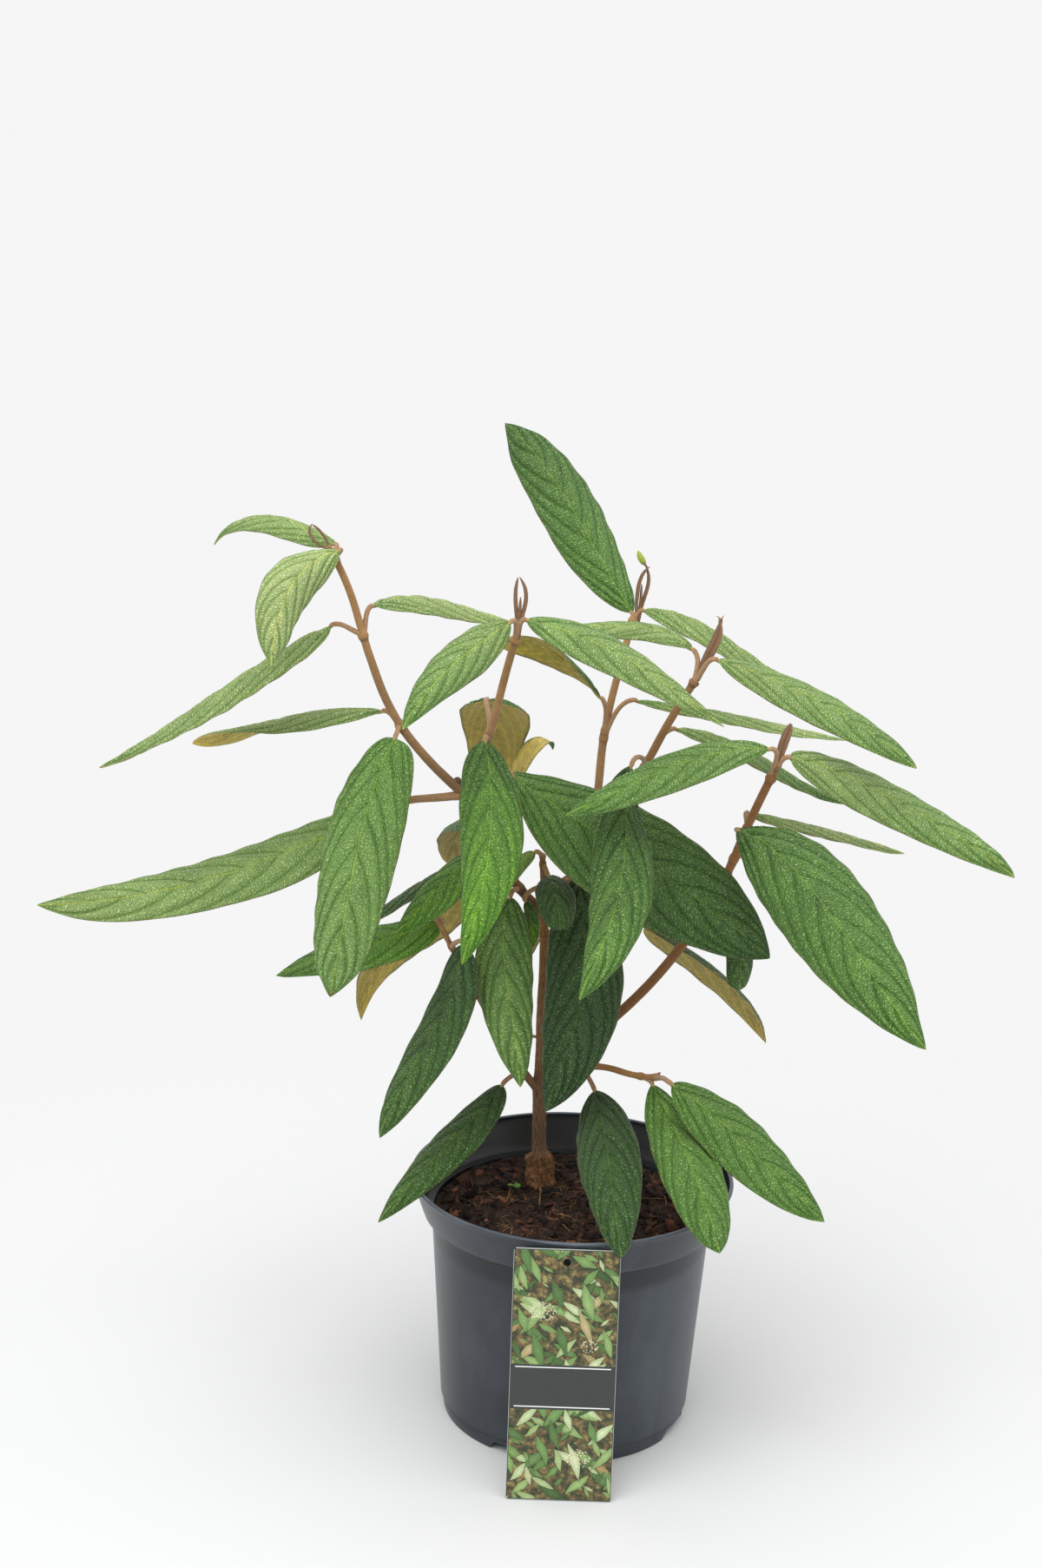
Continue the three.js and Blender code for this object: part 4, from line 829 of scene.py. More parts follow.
def limb_radius(name, parent, t, L, r0, r1):
    r = r0 + (r1 - r0) * t
    if not parent:
        h = t * L
        r = r + 0.9 * np.exp(-((h / FLARE_H * 1.2) ** 2))
        r = r - np.where(t > 0.42, 0.9 * np.minimum((t - 0.42) / 0.1, 1) * (1 - t), 0)
    return r


CALLUS_R, CALLUS_H = 4.6, 25.0        # how far the old swollen foot stands out of the trunk, and its height


def callus(th, h):
    """ragged, flaky swelling around the foot of the trunk"""
    cx, sx = np.cos(th) + 0 * h, np.sin(th) + 0 * h
    top = CALLUS_H + 9 * (fbm(cx * 1.6 + 7, sx * 1.6 + 3, 31, 2) - 0.5) + 2.5 * (vnoise(cx * 7 + 9, sx * 7 + 5, 32) - 0.5)
    body = np.clip((top - h) / 2.2, 0, 1)
    flakes = fbm(cx * 3.1 + 11, h / 7 + sx * 3.1, 33, 4) - 0.5
    fine = cells(th / (2 * np.pi) * 11 + 0 * h, h / 6 + 0 * th, 34)
    bare = 1 - 0.8 * np.exp(-(((np.mod(th - 0.35, 2 * np.pi) - np.pi) / 0.30) ** 2))
    return body * bare * (CALLUS_R * (0.80 + 0.9 * flakes) + 1.0 * np.clip(fine / 0.3, 0, 1) - 0.5) + 0.0 * h


stems = Soup()
for name, parent, at, azs, rises, L, r0, r1 in LIMBS:
    n = max(30, int(L / ((1.3 if parent else 0.8))))
    t = np.linspace(0, 1, n)
    P = on(name, t)
    # smooth the path a little
    for _ in range(6):
        P[1:-1] = 0.25 * P[:-2] + 0.5 * P[1:-1] + 0.25 * P[2:]
    R = limb_radius(name, parent, t, L, r0, r1) 
    swell = np.zeros(n)
    for a0 in NODES_ON.get(name, []):
        swell += 0.62 * np.exp(-(((t - a0) * L) / 2.4) ** 2)
        swell -= 0.22 * np.exp(-(((t - a0) * L - 4.4) / 1.6) ** 2)
    for nm2, par2, at2, *_ in LIMBS:
        if par2 == name:
            swell += 0.5 * np.exp(-(((t - at2) * L) / 5.0) ** 2)
    if parent:
        swell += 0.35 * R * np.exp(-(t * L) / 4.0)
    R = R + np.minimum(swell, 1.6)
    old = not parent
    sd = sum(map(ord, name))

    def relief(th, s, r, sd=sd, old=old, L=L):
        h = np.asarray(s)
        furrow = fbm(np.cos(th) * 2.2 + 9 + 0 * h, h / 16 + np.sin(th) * 2.2, sd, 4) - 0.5
        crack = cells(th / (2 * np.pi) * 14 + 0 * h, h / 9 + 0 * th, sd)
        d = 0.24 * r * furrow * (1.0 if old else 0.55)
        if old:
            d = d - 0.55 * np.clip(0.16 - crack, 0, 1) / 0.16 * np.clip(1 - h / (L * 0.9), 0.3, 1)
            d = d + callus(th, h)
        return d

    age = {"trunk": 0.0, "bough_left": 0.15, "bough_right": 0.2, "bough_low_left": 0.25, "twig_low_right": 0.6}.get(name, 0.45)
    kk = np.clip(age + t * 0.75, 0, 1)[:, None]
    col = GREY * (1 - kk) + TAN * kk
    k2 = np.clip((t - 0.85) / 0.15, 0, 1)[:, None] * (0 if name == "trunk" else 0.35)
    col = col * (1 - k2) + GREEN_TAN * k2
    patch = fbm(t * L / 14, 0 * t + 3, sd, 3)[:, None]
    col = col * (0.78 + 0.42 * patch)
    col = col * np.array(DARKER.get(name, (1, 1, 1)))
    for a0 in NODES_ON.get(name, []):
        ring = np.exp(-(((t - a0) * L + 2.6) / 0.7) ** 2)[:, None]
        col = col * (1 - 0.42 * ring)
    sides = (56) if old else 18
    if old:
        th = np.arange(sides) / sides * 2 * np.pi
        h = (t * L)[:, None] + 0 * th
        k3 = np.clip(callus(th[None, :], h) / 2.0, 0, 1)[..., None]
        flake = fbm(np.cos(th)[None, :] * 4 + 0 * h + 3, h / 5 + np.sin(th)[None, :] * 4, 35, 3)[..., None]
        col = col[:, None, :] * (1 - k3) + srgb(134, 98, 66) * (0.35 + 1.1 * flake) * k3
        col = col.reshape(-1, 3)
        col = np.vstack([col, col[0], col[-1]])
    tube(stems, P, R, sides, col, 0 if age < 0.4 else 1, relief=relief)
stems.build("bark_and_shoots", [BARK, STALK], [r[0] for r in LIMBS])

# ---- pot, soil, card ------------------------------------------------------------------------------------
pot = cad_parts["pot"]
def paint(obj, mat):
    me = obj.data
    if me.materials:
        me.materials[0] = mat
    else:
        me.materials.append(mat)


def rotz(v, a):
    c, s = math.cos(a), math.sin(a)
    v = np.asarray(v, float)
    return np.stack([v[..., 0] * c - v[..., 1] * s, v[..., 0] * s + v[..., 1] * c, v[..., 2]], -1)


def bare_object(name, V, quads=(), tris=()):
    me = bpy.data.meshes.new(name)
    faces = [tuple(map(int, q)) for q in quads] + [tuple(map(int, q)) for q in tris]
    me.from_pydata([tuple(map(float, p)) for p in np.asarray(V) * MM], [], faces)
    me.update()
    me.validate()
    o = bpy.data.objects.new(name, me)
    bpy.context.scene.collection.objects.link(o)
    return o


def body_r(z):
    return BODY_FOOT_R + (BODY_TOP_R - BODY_FOOT_R) * (z - FOOT_H) / (COLLAR_Z - FOOT_H)


def collar_r(z):
    return COLLAR_R + (RIM_R - COLLAR_R) * (z - COLLAR_Z) / (POT_HEIGHT - COLLAR_Z)


def arc(r0, z0, rad, a0, a1, n=5):
    return [(r0 + rad * math.cos(math.radians(a)), z0 + rad * math.sin(math.radians(a))) for a in np.linspace(a0, a1, n)]


def make_pot():
    H, W = POT_HEIGHT, WALL
    prof = [(0.0, 0.0), (PAD_R - 1, 0.0), (PAD_R, 0.2), (PAD_R + 4.4, 4.3), (PAD_R + 5, 4.5), (FOOT_R - 9.6, 4.5), (FOOT_R - 9, 4.2),
            (FOOT_R - 5.4, 0.4), (FOOT_R - 4.6, 0.0), (FOOT_R - 0.6, 0.0), (FOOT_R, 0.5), (FOOT_R + 1.45, FOOT_H - 1.3),
            (FOOT_R + 1.25, FOOT_H - 0.85), (FOOT_R + 1.5, FOOT_H - 0.4), (BODY_FOOT_R + 0.05, FOOT_H + 0.2)]
    for z in np.linspace(FOOT_H + 6, COLLAR_Z - 4, 24):
        prof.append((body_r(z), z))
    prof += [(BODY_TOP_R - 0.02, COLLAR_Z - 1.6), (BODY_TOP_R + 0.3, COLLAR_Z - 0.95), (COLLAR_R - 1.6, COLLAR_Z - 0.6),
             (COLLAR_R - 0.6, COLLAR_Z - 0.45), (COLLAR_R - 0.1, COLLAR_Z - 0.1), (COLLAR_R, COLLAR_Z + 0.3)]
    for z in np.linspace(COLLAR_Z + 3, H - 5, 7):
        prof.append((collar_r(z), z))
    prof += [(collar_r(H - 3.4), H - 3.4), (collar_r(H - 2.7) + 0.15, H - 2.7), (RIM_R - 0.35, H - 2.1)]
    prof += arc(RIM_R - 0.75, H - 1.15, 0.75, -50, 0, 4)
    prof += arc(RIM_R - 0.85, H - 0.85, 0.85, 8, 90, 6)
    prof += arc(RIM_R - W - 0.2, H - 0.8, 0.8, 90, 172, 5)
    prof += [(RIM_R - W - 0.95, H - 1.6), (collar_r(H - 3) - W, H - 3)]
    for z in np.linspace(H - 7, COLLAR_Z + 4, 5):
        prof.append((collar_r(z) - W, z))
    prof += [(COLLAR_R - W, COLLAR_Z + 1.6), (COLLAR_R - W - 0.6, COLLAR_Z + 0.9), (BODY_TOP_R - W + 0.3, COLLAR_Z + 0.3), (BODY_TOP_R - W, COLLAR_Z - 0.4),
             (body_r(80) - W, 80), (body_r(14) - W - 0.4, 14), (body_r(10) - W - 4, 8.7), (0.0, 7.5)]
    n = 224
    r = np.array([p[0] for p in prof[1:-1]])
    z = np.array([p[1] for p in prof[1:-1]])
    a = np.arange(n) / n * 2 * np.pi
    out = 1 + 0.0016 * np.sin(2 * a + 0.6)[None, :] * np.clip(z / H, 0, 1)[:, None] ** 2
    V = np.stack([r[:, None] * np.cos(a) * out, r[:, None] * np.sin(a) * out, z[:, None] + 0 * a], -1).reshape(-1, 3)
    q = grid_quads(len(r), n, wrap=True)
    V = np.vstack([V, [0, 0, 0], [0, 0, 7.5]])
    j = np.arange(n)
    last = (len(r) - 1) * n
    tris = np.vstack([np.stack([np.full(n, len(V) - 2), (j + 1) % n, j], 1), np.stack([np.full(n, len(V) - 1), last + j, last + (j + 1) % n], 1)])
    o = bare_object("pot_moulded", V, q, tris)
    cutters = []
    for i in range(4):
        ang = math.radians(NOTCH_TURN + 90 * i)
        poly = [(-21, -2), (21, -2), (14.8, 6.0), (13.6, 6.5), (-13.6, 6.5), (-14.8, 6.0)]
        m = len(poly)
        W2 = np.array([(x, -(FOOT_R - 12) - d, zz) for d in (0, 22) for x, zz in poly])
        W2 = rotz(W2, ang)
        qq = [(k, (k + 1) % m, m + (k + 1) % m, m + k) for k in range(m)]
        c = bpy.data.meshes.new("cut")
        c.from_pydata([tuple(p * MM) for p in W2], [], qq + [tuple(range(m))[::-1], tuple(range(m, 2 * m))])
        cutters.append(c)
        ang = math.radians(45 + 90 * i)
        th = np.arange(24) / 24 * 2 * np.pi
        W2 = np.vstack([np.stack([52 + 5 * np.cos(th), 5 * np.sin(th), 0 * th + zz], 1) for zz in (-4, 16)])
        W2 = rotz(W2, ang)
        qq = [(k, (k + 1) % 24, 24 + (k + 1) % 24, 24 + k) for k in range(24)]
        c = bpy.data.meshes.new("cut")
        c.from_pydata([tuple(p * MM) for p in W2], [], qq + [tuple(range(24))[::-1], tuple(range(24, 48))])
        cutters.append(c)
    holders = []
    for c in cutters:
        c.update()
        import bmesh
        bm = bmesh.new()
        bm.from_mesh(c)
        bmesh.ops.recalc_face_normals(bm, faces=bm.faces)
        bm.to_mesh(c)
        bm.free()
        h = bpy.data.objects.new("cutter", c)
        bpy.context.scene.collection.objects.link(h)
        holders.append(h)
        m = o.modifiers.new("cut", "BOOLEAN")
        m.operation, m.solver, m.object = "DIFFERENCE", "EXACT", h
    bpy.context.view_layer.update()
    dg = bpy.context.evaluated_depsgraph_get()
    me = bpy.data.meshes.new_from_object(o.evaluated_get(dg))
    o.modifiers.clear()
    o.data = me
    for h in holders:
        bpy.data.objects.remove(h)
    me.materials.clear()
    me.materials.append(POTM)
    me.polygons.foreach_set("use_smooth", np.ones(len(me.polygons), bool))
    me.set_sharp_from_angle(angle=math.radians(38))
    co = np.zeros(len(me.vertices) * 3)
    me.vertices.foreach_get("co", co)
    co = co.reshape(-1, 3) * 1000
    c = np.ones((len(co), 4), np.float32)
    rr = np.hypot(co[:, 0], co[:, 1])
    # paler bands along the top of the rim and on the collar's ledge
    edge = np.exp(-(((co[:, 2] - POT_HEIGHT) / 0.9) ** 2)) * (rr > RIM_R - 3) * 1.6
    edge += np.exp(-(((co[:, 2] - COLLAR_Z) / 0.8) ** 2)) * (rr > COLLAR_R - 2) * 0.7
    c[:, :3] *= (1 + edge)[:, None]
    # painted shade: a dark line in the small groove above the foot
    groove_painted_shade = np.exp(-(((co[:, 2] - FOOT_H + 0.85) / 0.5) ** 2)) * (rr > FOOT_R)
    c[:, :3] *= (1 - 0.45 * groove_painted_shade)[:, None]
    # painted shade: the inner wall above the soil is darkened where the rim and the plant shade it
    inside = (rr < collar_r(co[:, 2]) - WALL * 0.6) & (co[:, 2] > 20) & (co[:, 2] < POT_HEIGHT - 1.2)
    c[:, :3] *= np.where(inside, 0.30, 1.0)[:, None]
    a = me.attributes.new("tint", "FLOAT_COLOR", "POINT")
    a.data.foreach_set("color", c.ravel())
    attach(o, "root")
    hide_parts("pot")
    print("PIECE pot", sum(len(p.vertices) - 2 for p in me.polygons))
    return o


make_pot()


def soil_top(x, y):
    r = np.hypot(x, y)
    h = SOIL_Z + SOIL_DOME * (1 - (r / 97) ** 2)
    h = h + 0.9 * np.sin(x * 0.071 + 1.3) * np.cos(y * 0.083 + 0.4) + 0.6 * np.sin(x * 0.17 - y * 0.13)
    return h


def soil_detail(x, y):
    h = soil_top(x, y) + 5.0 * (fbm(x / 12, y / 12, 5, 4) - 0.5) + 2.8 * (fbm(x / 3.4, y / 3.4, 6, 3) - 0.5)
    d = np.hypot(x - TRUNK_FOOT[0], y - TRUNK_FOOT[1])
    return h + 1.6 * np.exp(-((d / 16) ** 2))


soil = Soup()
ns, nr_ = ((300, 120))
edge_r = body_r(150) - WALL - 0.6
fr_ = np.sqrt(np.linspace(1, 0.0004, nr_))
aa = np.arange(ns) / ns * 2 * np.pi
rr = edge_r * fr_[:, None] * (1 + 0 * aa)
X, Y = rr * np.cos(aa), rr * np.sin(aa)
Z = soil_detail(X, Y)
side = [(edge_r - 5.2 - 6.5, 9.4), (body_r(15) - WALL - 1.2, 15.0), (body_r(100) - WALL - 0.6, 100.0), (body_r(140) - WALL - 0.6, 140.0)]
VX = np.vstack([np.stack([r * np.cos(aa), r * np.sin(aa), 0 * aa + z], -1)[None] for r, z in side] + [np.stack([X, Y, Z], -1)])
nrow = VX.shape[0]
V = np.vstack([VX.reshape(-1, 3), [0, 0, 9.4], [0, 0, float(soil_detail(np.array(0.0), np.array(0.0)))]])
q = grid_quads(nrow, ns, wrap=True)
j = np.arange(ns)
lastr = (nrow - 1) * ns
tris = np.vstack([np.stack([np.full(ns, len(V) - 2), (j + 1) % ns, j], 1), np.stack([np.full(ns, len(V) - 1), lastr + j, lastr + (j + 1) % ns], 1)])
lum = fbm(V[:, 0] / 7, V[:, 1] / 7, 8, 3)[:, None]
col = srgb(56, 40, 32) * (0.5 + 1.1 * lum)
soil.add(V, q, tris, 0, 0, col)
# chips of bark
n_chip = 1150
cube = np.array([[x, y, z] for x in (-1, 1) for y in (-1, 1) for z in (-1, 1)], float)
cq = np.array([[0, 1, 3, 2], [4, 6, 7, 5], [0, 4, 5, 1], [2, 3, 7, 6], [0, 2, 6, 4], [1, 5, 7, 3]])
PAL = [srgb(38, 27, 23), srgb(50, 35, 28), srgb(70, 47, 36), srgb(98, 62, 46), srgb(34, 27, 25), srgb(46, 35, 29), srgb(40, 29, 24)]
for k in range(n_chip):
    r = (edge_r - 3) * math.sqrt(rng.random())
    a = rng.random() * 2 * math.pi
    x, y = r * math.cos(a), r * math.sin(a)
    if math.hypot(x - TRUNK_FOOT[0], y - TRUNK_FOOT[1]) < 9:
        continue
    L = 0.8 + 5.0 * rng.random() ** 3.2
    W = L * (0.35 + 0.45 * rng.random())
    Hh = 0.5 + 1.1 * rng.random()
    P = cube * (1 + 0.28 * rng.standard_normal((8, 3)) * [1, 1, 0.6]) * [L, W, Hh]
    tilt = math.radians(28) * rng.standard_normal(2)
    c1, s1, c2, s2 = math.cos(tilt[0]), math.sin(tilt[0]), math.cos(tilt[1]), math.sin(tilt[1])
    P = P @ np.array([[1, 0, 0], [0, c1, -s1], [0, s1, c1]]).T @ np.array([[c2, 0, s2], [0, 1, 0], [-s2, 0, c2]]).T
    P = rotz(P, rng.random() * 6.28)
    far = np.hypot(P[:, 0] + x, P[:, 1] + y).max()
    if far > edge_r - 0.5:
        continue
    z = float(soil_detail(np.array(x), np.array(y))) + 0.25 * Hh
    soil.add(P + [x, y, z], cq, None, 0, 0, PAL[int(rng.integers(len(PAL)))] * (0.9 + 0.9 * rng.random()))
# straw-like fibres and fine roots
for k in range(460):
    r = (edge_r - 12) * math.sqrt(rng.random())
    a = rng.random() * 2 * math.pi
    x, y = r * math.cos(a), r * math.sin(a)
    L = 6 + 20 * rng.random()
    h0, curl = rng.random() * 6.28, rng.standard_normal() * 0.9
    u = np.linspace(0, 1, 9)
    ang = h0 + curl * u
    P = np.stack([x + np.cumsum(np.cos(ang)) * L / 9, y + np.cumsum(np.sin(ang)) * L / 9, 0 * u], -1)
    if np.hypot(P[:, 0], P[:, 1]).max() > edge_r - 1.5 or np.hypot(P[:, 0] - TRUNK_FOOT[0], P[:, 1] - TRUNK_FOOT[1]).min() < 8:
        continue
    P[:, 2] = soil_detail(P[:, 0], P[:, 1]) + 0.6 + 1.6 * np.sin(np.pi * u) * rng.random()
    rad_ = 0.14 + 0.30 * rng.random() ** 3
    colr = (srgb(128, 94, 62), srgb(86, 60, 44), srgb(152, 122, 84), srgb(70, 48, 36))[int(rng.integers(4))] * (0.7 + 0.5 * rng.random())
    tube(soil, P, np.full(9, rad_) * np.interp(u, [0, 0.1, 0.9, 1], [0.5, 1, 1, 0.4]), 5, colr, 0)
# a thin root running out of the foot; the small green sprout beside it is made with the buds below
u = np.linspace(0, 1, 14)
P = np.stack([TRUNK_FOOT[0] - 1 + 1.5 * u + 0.8 * np.sin(5 * u), TRUNK_FOOT[1] - 8 - 32 * u, 0 * u], -1)
P[:, 2] = soil_detail(P[:, 0], P[:, 1]) + 1.2 + 1.0 * np.sin(2.5 * u)
tube(soil, P, 1.0 - 0.45 * u, 8, srgb(140, 106, 70), 0)
soil.build("soil_bark_mix", [SOILM], ["soil"])

# ---- buds, stubs and small growth -------------------------------------------------------------------------------
bits = Soup()

# paired narrow bud leaves at the shoot ends: points right of and above the end of the shoot, and half width
BUDS = [
    ("shoot_far_left", 1.25, [(0.1, -2.4), (-5.7, 0.3), (-11.4, 5.8), (-12.6, 10.9), (-10.4, 13.8)]),
    ("shoot_far_left", 1.25, [(1.2, -2.4), (0.4, 2.2), (-4.1, 8.9), (-7.5, 12.2), (-10.4, 13.8)]),
    ("shoot_centre_left", 1.75, [(0.1, -1.7), (0.2, 11.5), (-1.3, 22.8), (-1.6, 32.5), (-0.2, 39.3)]),
    ("shoot_centre_left", 1.75, [(1.2, -1.7), (2.9, 13.3), (5.9, 24.8), (5.0, 33.8), (0.9, 39.9)]),
    ("shoot_centre_left", 1.3, [(1.0, 2.9), (1.7, 17.2), (1.9, 26.9)]),
    ("shoot_centre_right", 1.7, [(1.4, -4.9), (0.8, 8.1), (1.5, 20.5), (4.1, 29.8), (8.8, 34.2)]),
    ("shoot_centre_right", 1.7, [(2.7, -4.9), (5.1, 8.2), (8.8, 20.7), (9.0, 28.7), (6.3, 34.2)]),
    ("shoot_centre_right", 1.2, [(2.5, -2.4), (3.8, 10.0), (3.9, 21.8)]),
    ("shoot_right", 2.3, [(0.5, 1.2), (5.6, 15.0), (11.2, 28.0), (14.7, 37.5), (16.1, 43.4)]),
    ("shoot_right", 2.3, [(1.7, 1.3), (8.0, 13.9), (13.6, 25.8), (16.0, 35.2), (13.9, 42.7)]),
    ("shoot_far_right", 2.1, [(-2.6, -4.7), (-0.4, 7.2), (1.8, 17.2), (4.3, 23.8), (6.3, 27.3)]),
    ("shoot_far_right", 2.1, [(-1.4, -4.6), (1.9, 7.3), (4.7, 16.8), (6.6, 22.7), (6.9, 27.4)]),
]
BUD_BROWN, BUD_EDGE, FRESH = srgb(108, 78, 54), srgb(158, 122, 90), srgb(158, 176, 70)


def smooth_path(pts, n=26):
    pts = np.array(pts, float)
    s = np.r_[0, np.cumsum(np.linalg.norm(np.diff(pts, axis=0), axis=1))]
    u = np.linspace(0, s[-1], n)
    Q = np.stack([np.interp(u, s, pts[:, i]) for i in range(3)], -1)
    for _ in range(8):
        Q[1:-1] = 0.25 * Q[:-2] + 0.5 * Q[1:-1] + 0.25 * Q[2:]
    return Q


for k, (name, r, pts) in enumerate(BUDS):
    E = on(name, 1.0)
    depth = (0.9, -0.9, 2.0)[k % 3 if len(pts) == 3 else k % 2]
    Q = smooth_path([E + np.array([x, depth * min(1, abs(z) / 12.0), z]) for x, z in pts])
    u = np.linspace(0, 1, len(Q))
    R = 1.22 * r * np.interp(u, [0, 0.15, 0.5, 0.78, 0.93, 1], [0.95, 0.85, 1.0, 0.9, 0.6, 0.2])
    sides = 12
    th = np.arange(sides) / sides * 2 * np.pi
    shade = np.clip(0.5 + 0.5 * np.cos(2 * th), 0, 1)[None, :, None] + 0 * u[:, None, None]
    col = (BUD_BROWN * (1 - 0.55 * shade) + BUD_EDGE * 0.55 * shade) * (0.8 + 0.4 * fbm(u[:, None] * 9, th[None, :] * 2, k, 2))[..., None]
    col = col.reshape(-1, 3)
    col = np.vstack([col, col[0], col[-1]])
    tube(bits, Q, R, sides, col, 0, relief=lambda th, s, rad_: -0.30 * rad_ * np.exp(-(((np.mod(th - 1.57, 2 * np.pi)) / 0.4) ** 2)) + 0.10 * rad_ * (vnoise(th * 2, s / 1.3, 7) - 0.5), squash=(1, 0.62))
# forked hair tips of the right shoot's bud
E = on("shoot_right", 1.0)
for dx, dz in ((-3.2, 1.2), (1.6, 2.0)):
    Q = smooth_path([E + [15.4, 0, 42.0], E + [15.4 + dx * 0.6, 0, 43.6 + dz * 0.4], E + [15.4 + dx, 0, 43.4 + dz * 0.8]], 8)
    tube(bits, Q, np.linspace(0.7, 0.2, 8), 8, BUD_EDGE, 0)
# the green opening bud on the centre right shoot
E = on("shoot_centre_right", 1.0)
Q = smooth_path([E + [7.2, 0, 33.6], E + [4.6, 0, 36.6], E + [2.0, 0, 40.6], E + [0.4, 0, 45.0]], 24)
u = np.linspace(0, 1, 24)
col = BUD_BROWN * (1 - np.clip(u * 4 - 0.6, 0, 1))[:, None] + FRESH * np.clip(u * 4 - 0.6, 0, 1)[:, None]
tube(bits, Q, 3.0 * np.interp(u, [0, 0.18, 0.35, 0.6, 0.85, 1], [0.25, 0.35, 0.9, 1.0, 0.7, 0.2]), 16, col, 0,
     relief=lambda th, s, rad_: -0.16 * rad_ * np.abs(np.sin(2.5 * th + 0.1 * s)) ** 4, squash=(1, 0.8))
# dead stub above the left fork, twig bud, small pale bud on the trunk
E = on("bough_left", 1.0)
Q = smooth_path([E + [-0.8, 0, -1.0], E + [-3.0, -0.5, 5.0], E + [-6.2, -0.8, 11.4]], 16)
tube(bits, Q, np.interp(np.linspace(0, 1, 16), [0, 0.5, 0.85, 1], [2.9, 2.4, 2.8, 1.9]), 14, srgb(92, 74, 60), 0, relief=lambda th, s, rad_: 0.28 * rad_ * (fbm(th * 1.4, s / 2.0, 41, 3) - 0.5))
E = on("twig_low_right", 0.93)
Q = smooth_path([E + [0, 0, 0.8], E + [3.4, -2.4, 2.2], E + [6.4, -4.4, 5.4]], 14)
tube(bits, Q, np.interp(np.linspace(0, 1, 14), [0, 0.4, 0.8, 1], [1.5, 1.25, 0.9, 0.3]), 10, srgb(150, 110, 72), 0)
E = on("trunk", 0.55)
Q = smooth_path([E + [-3.0, 0, 0], E + [-5.4, -0.6, 1.2], E + [-8.2, -0.8, 0.6]], 14)
tube(bits, Q, np.interp(np.linspace(0, 1, 14), [0, 0.35, 0.8, 1], [0.9, 1.9, 2.2, 1.0]), 12, srgb(172, 162, 104), 0, squash=(1, 0.6))
# tiny hanging leaf below the inner leaf, on a thin forked stalk
tip = np.array([-15.1, 20.0, 352.0])
tube(bits, smooth_path([tip, tip + [1.4, 0, -4], tip + [2.2, 0, -7.5]], 10), np.linspace(1.0, 0.8, 10), 8, srgb(196, 156, 96), 0)
tube(bits, smooth_path([tip + [1.6, 0, -4], tip + [-0.8, 0, -0.6], tip + [-3.4, 0, 0.8]], 8), np.linspace(0.8, 0.4, 8), 8, srgb(196, 156, 96), 0)
Q = smooth_path([tip + [2.2, 0, -7.0], tip + [2.6, -0.3, -12.5], tip + [2.4, -0.2, -18.2]], 20)
tube(bits, Q, 3.1 * np.interp(np.linspace(0, 1, 20), [0, 0.2, 0.5, 0.8, 1], [0.3, 0.8, 1.0, 0.7, 0.15]), 16, srgb(84, 122, 46), 0, squash=(1, 0.3))
# green sprout on the soil
S0 = np.array([-40.0, 24.8, 0.0])
S0[2] = float(soil_detail(S0[0], S0[1]))
for a, L in ((200, 6.5), (330, 5.5), (80, 4.5)):
    Q = S0 + np.cumsum(dirs(a + 0 * np.arange(14), 62 - 5 * np.arange(14)) * L / 14, 0)
    tube(bits, Q, 1.9 * np.interp(np.linspace(0, 1, 14), [0, 0.3, 0.7, 1], [0.4, 0.8, 1.0, 0.3]), 12, srgb(96, 150, 58), 0, squash=(1, 0.35))
bits.build("buds_and_stubs", [STALK], [])

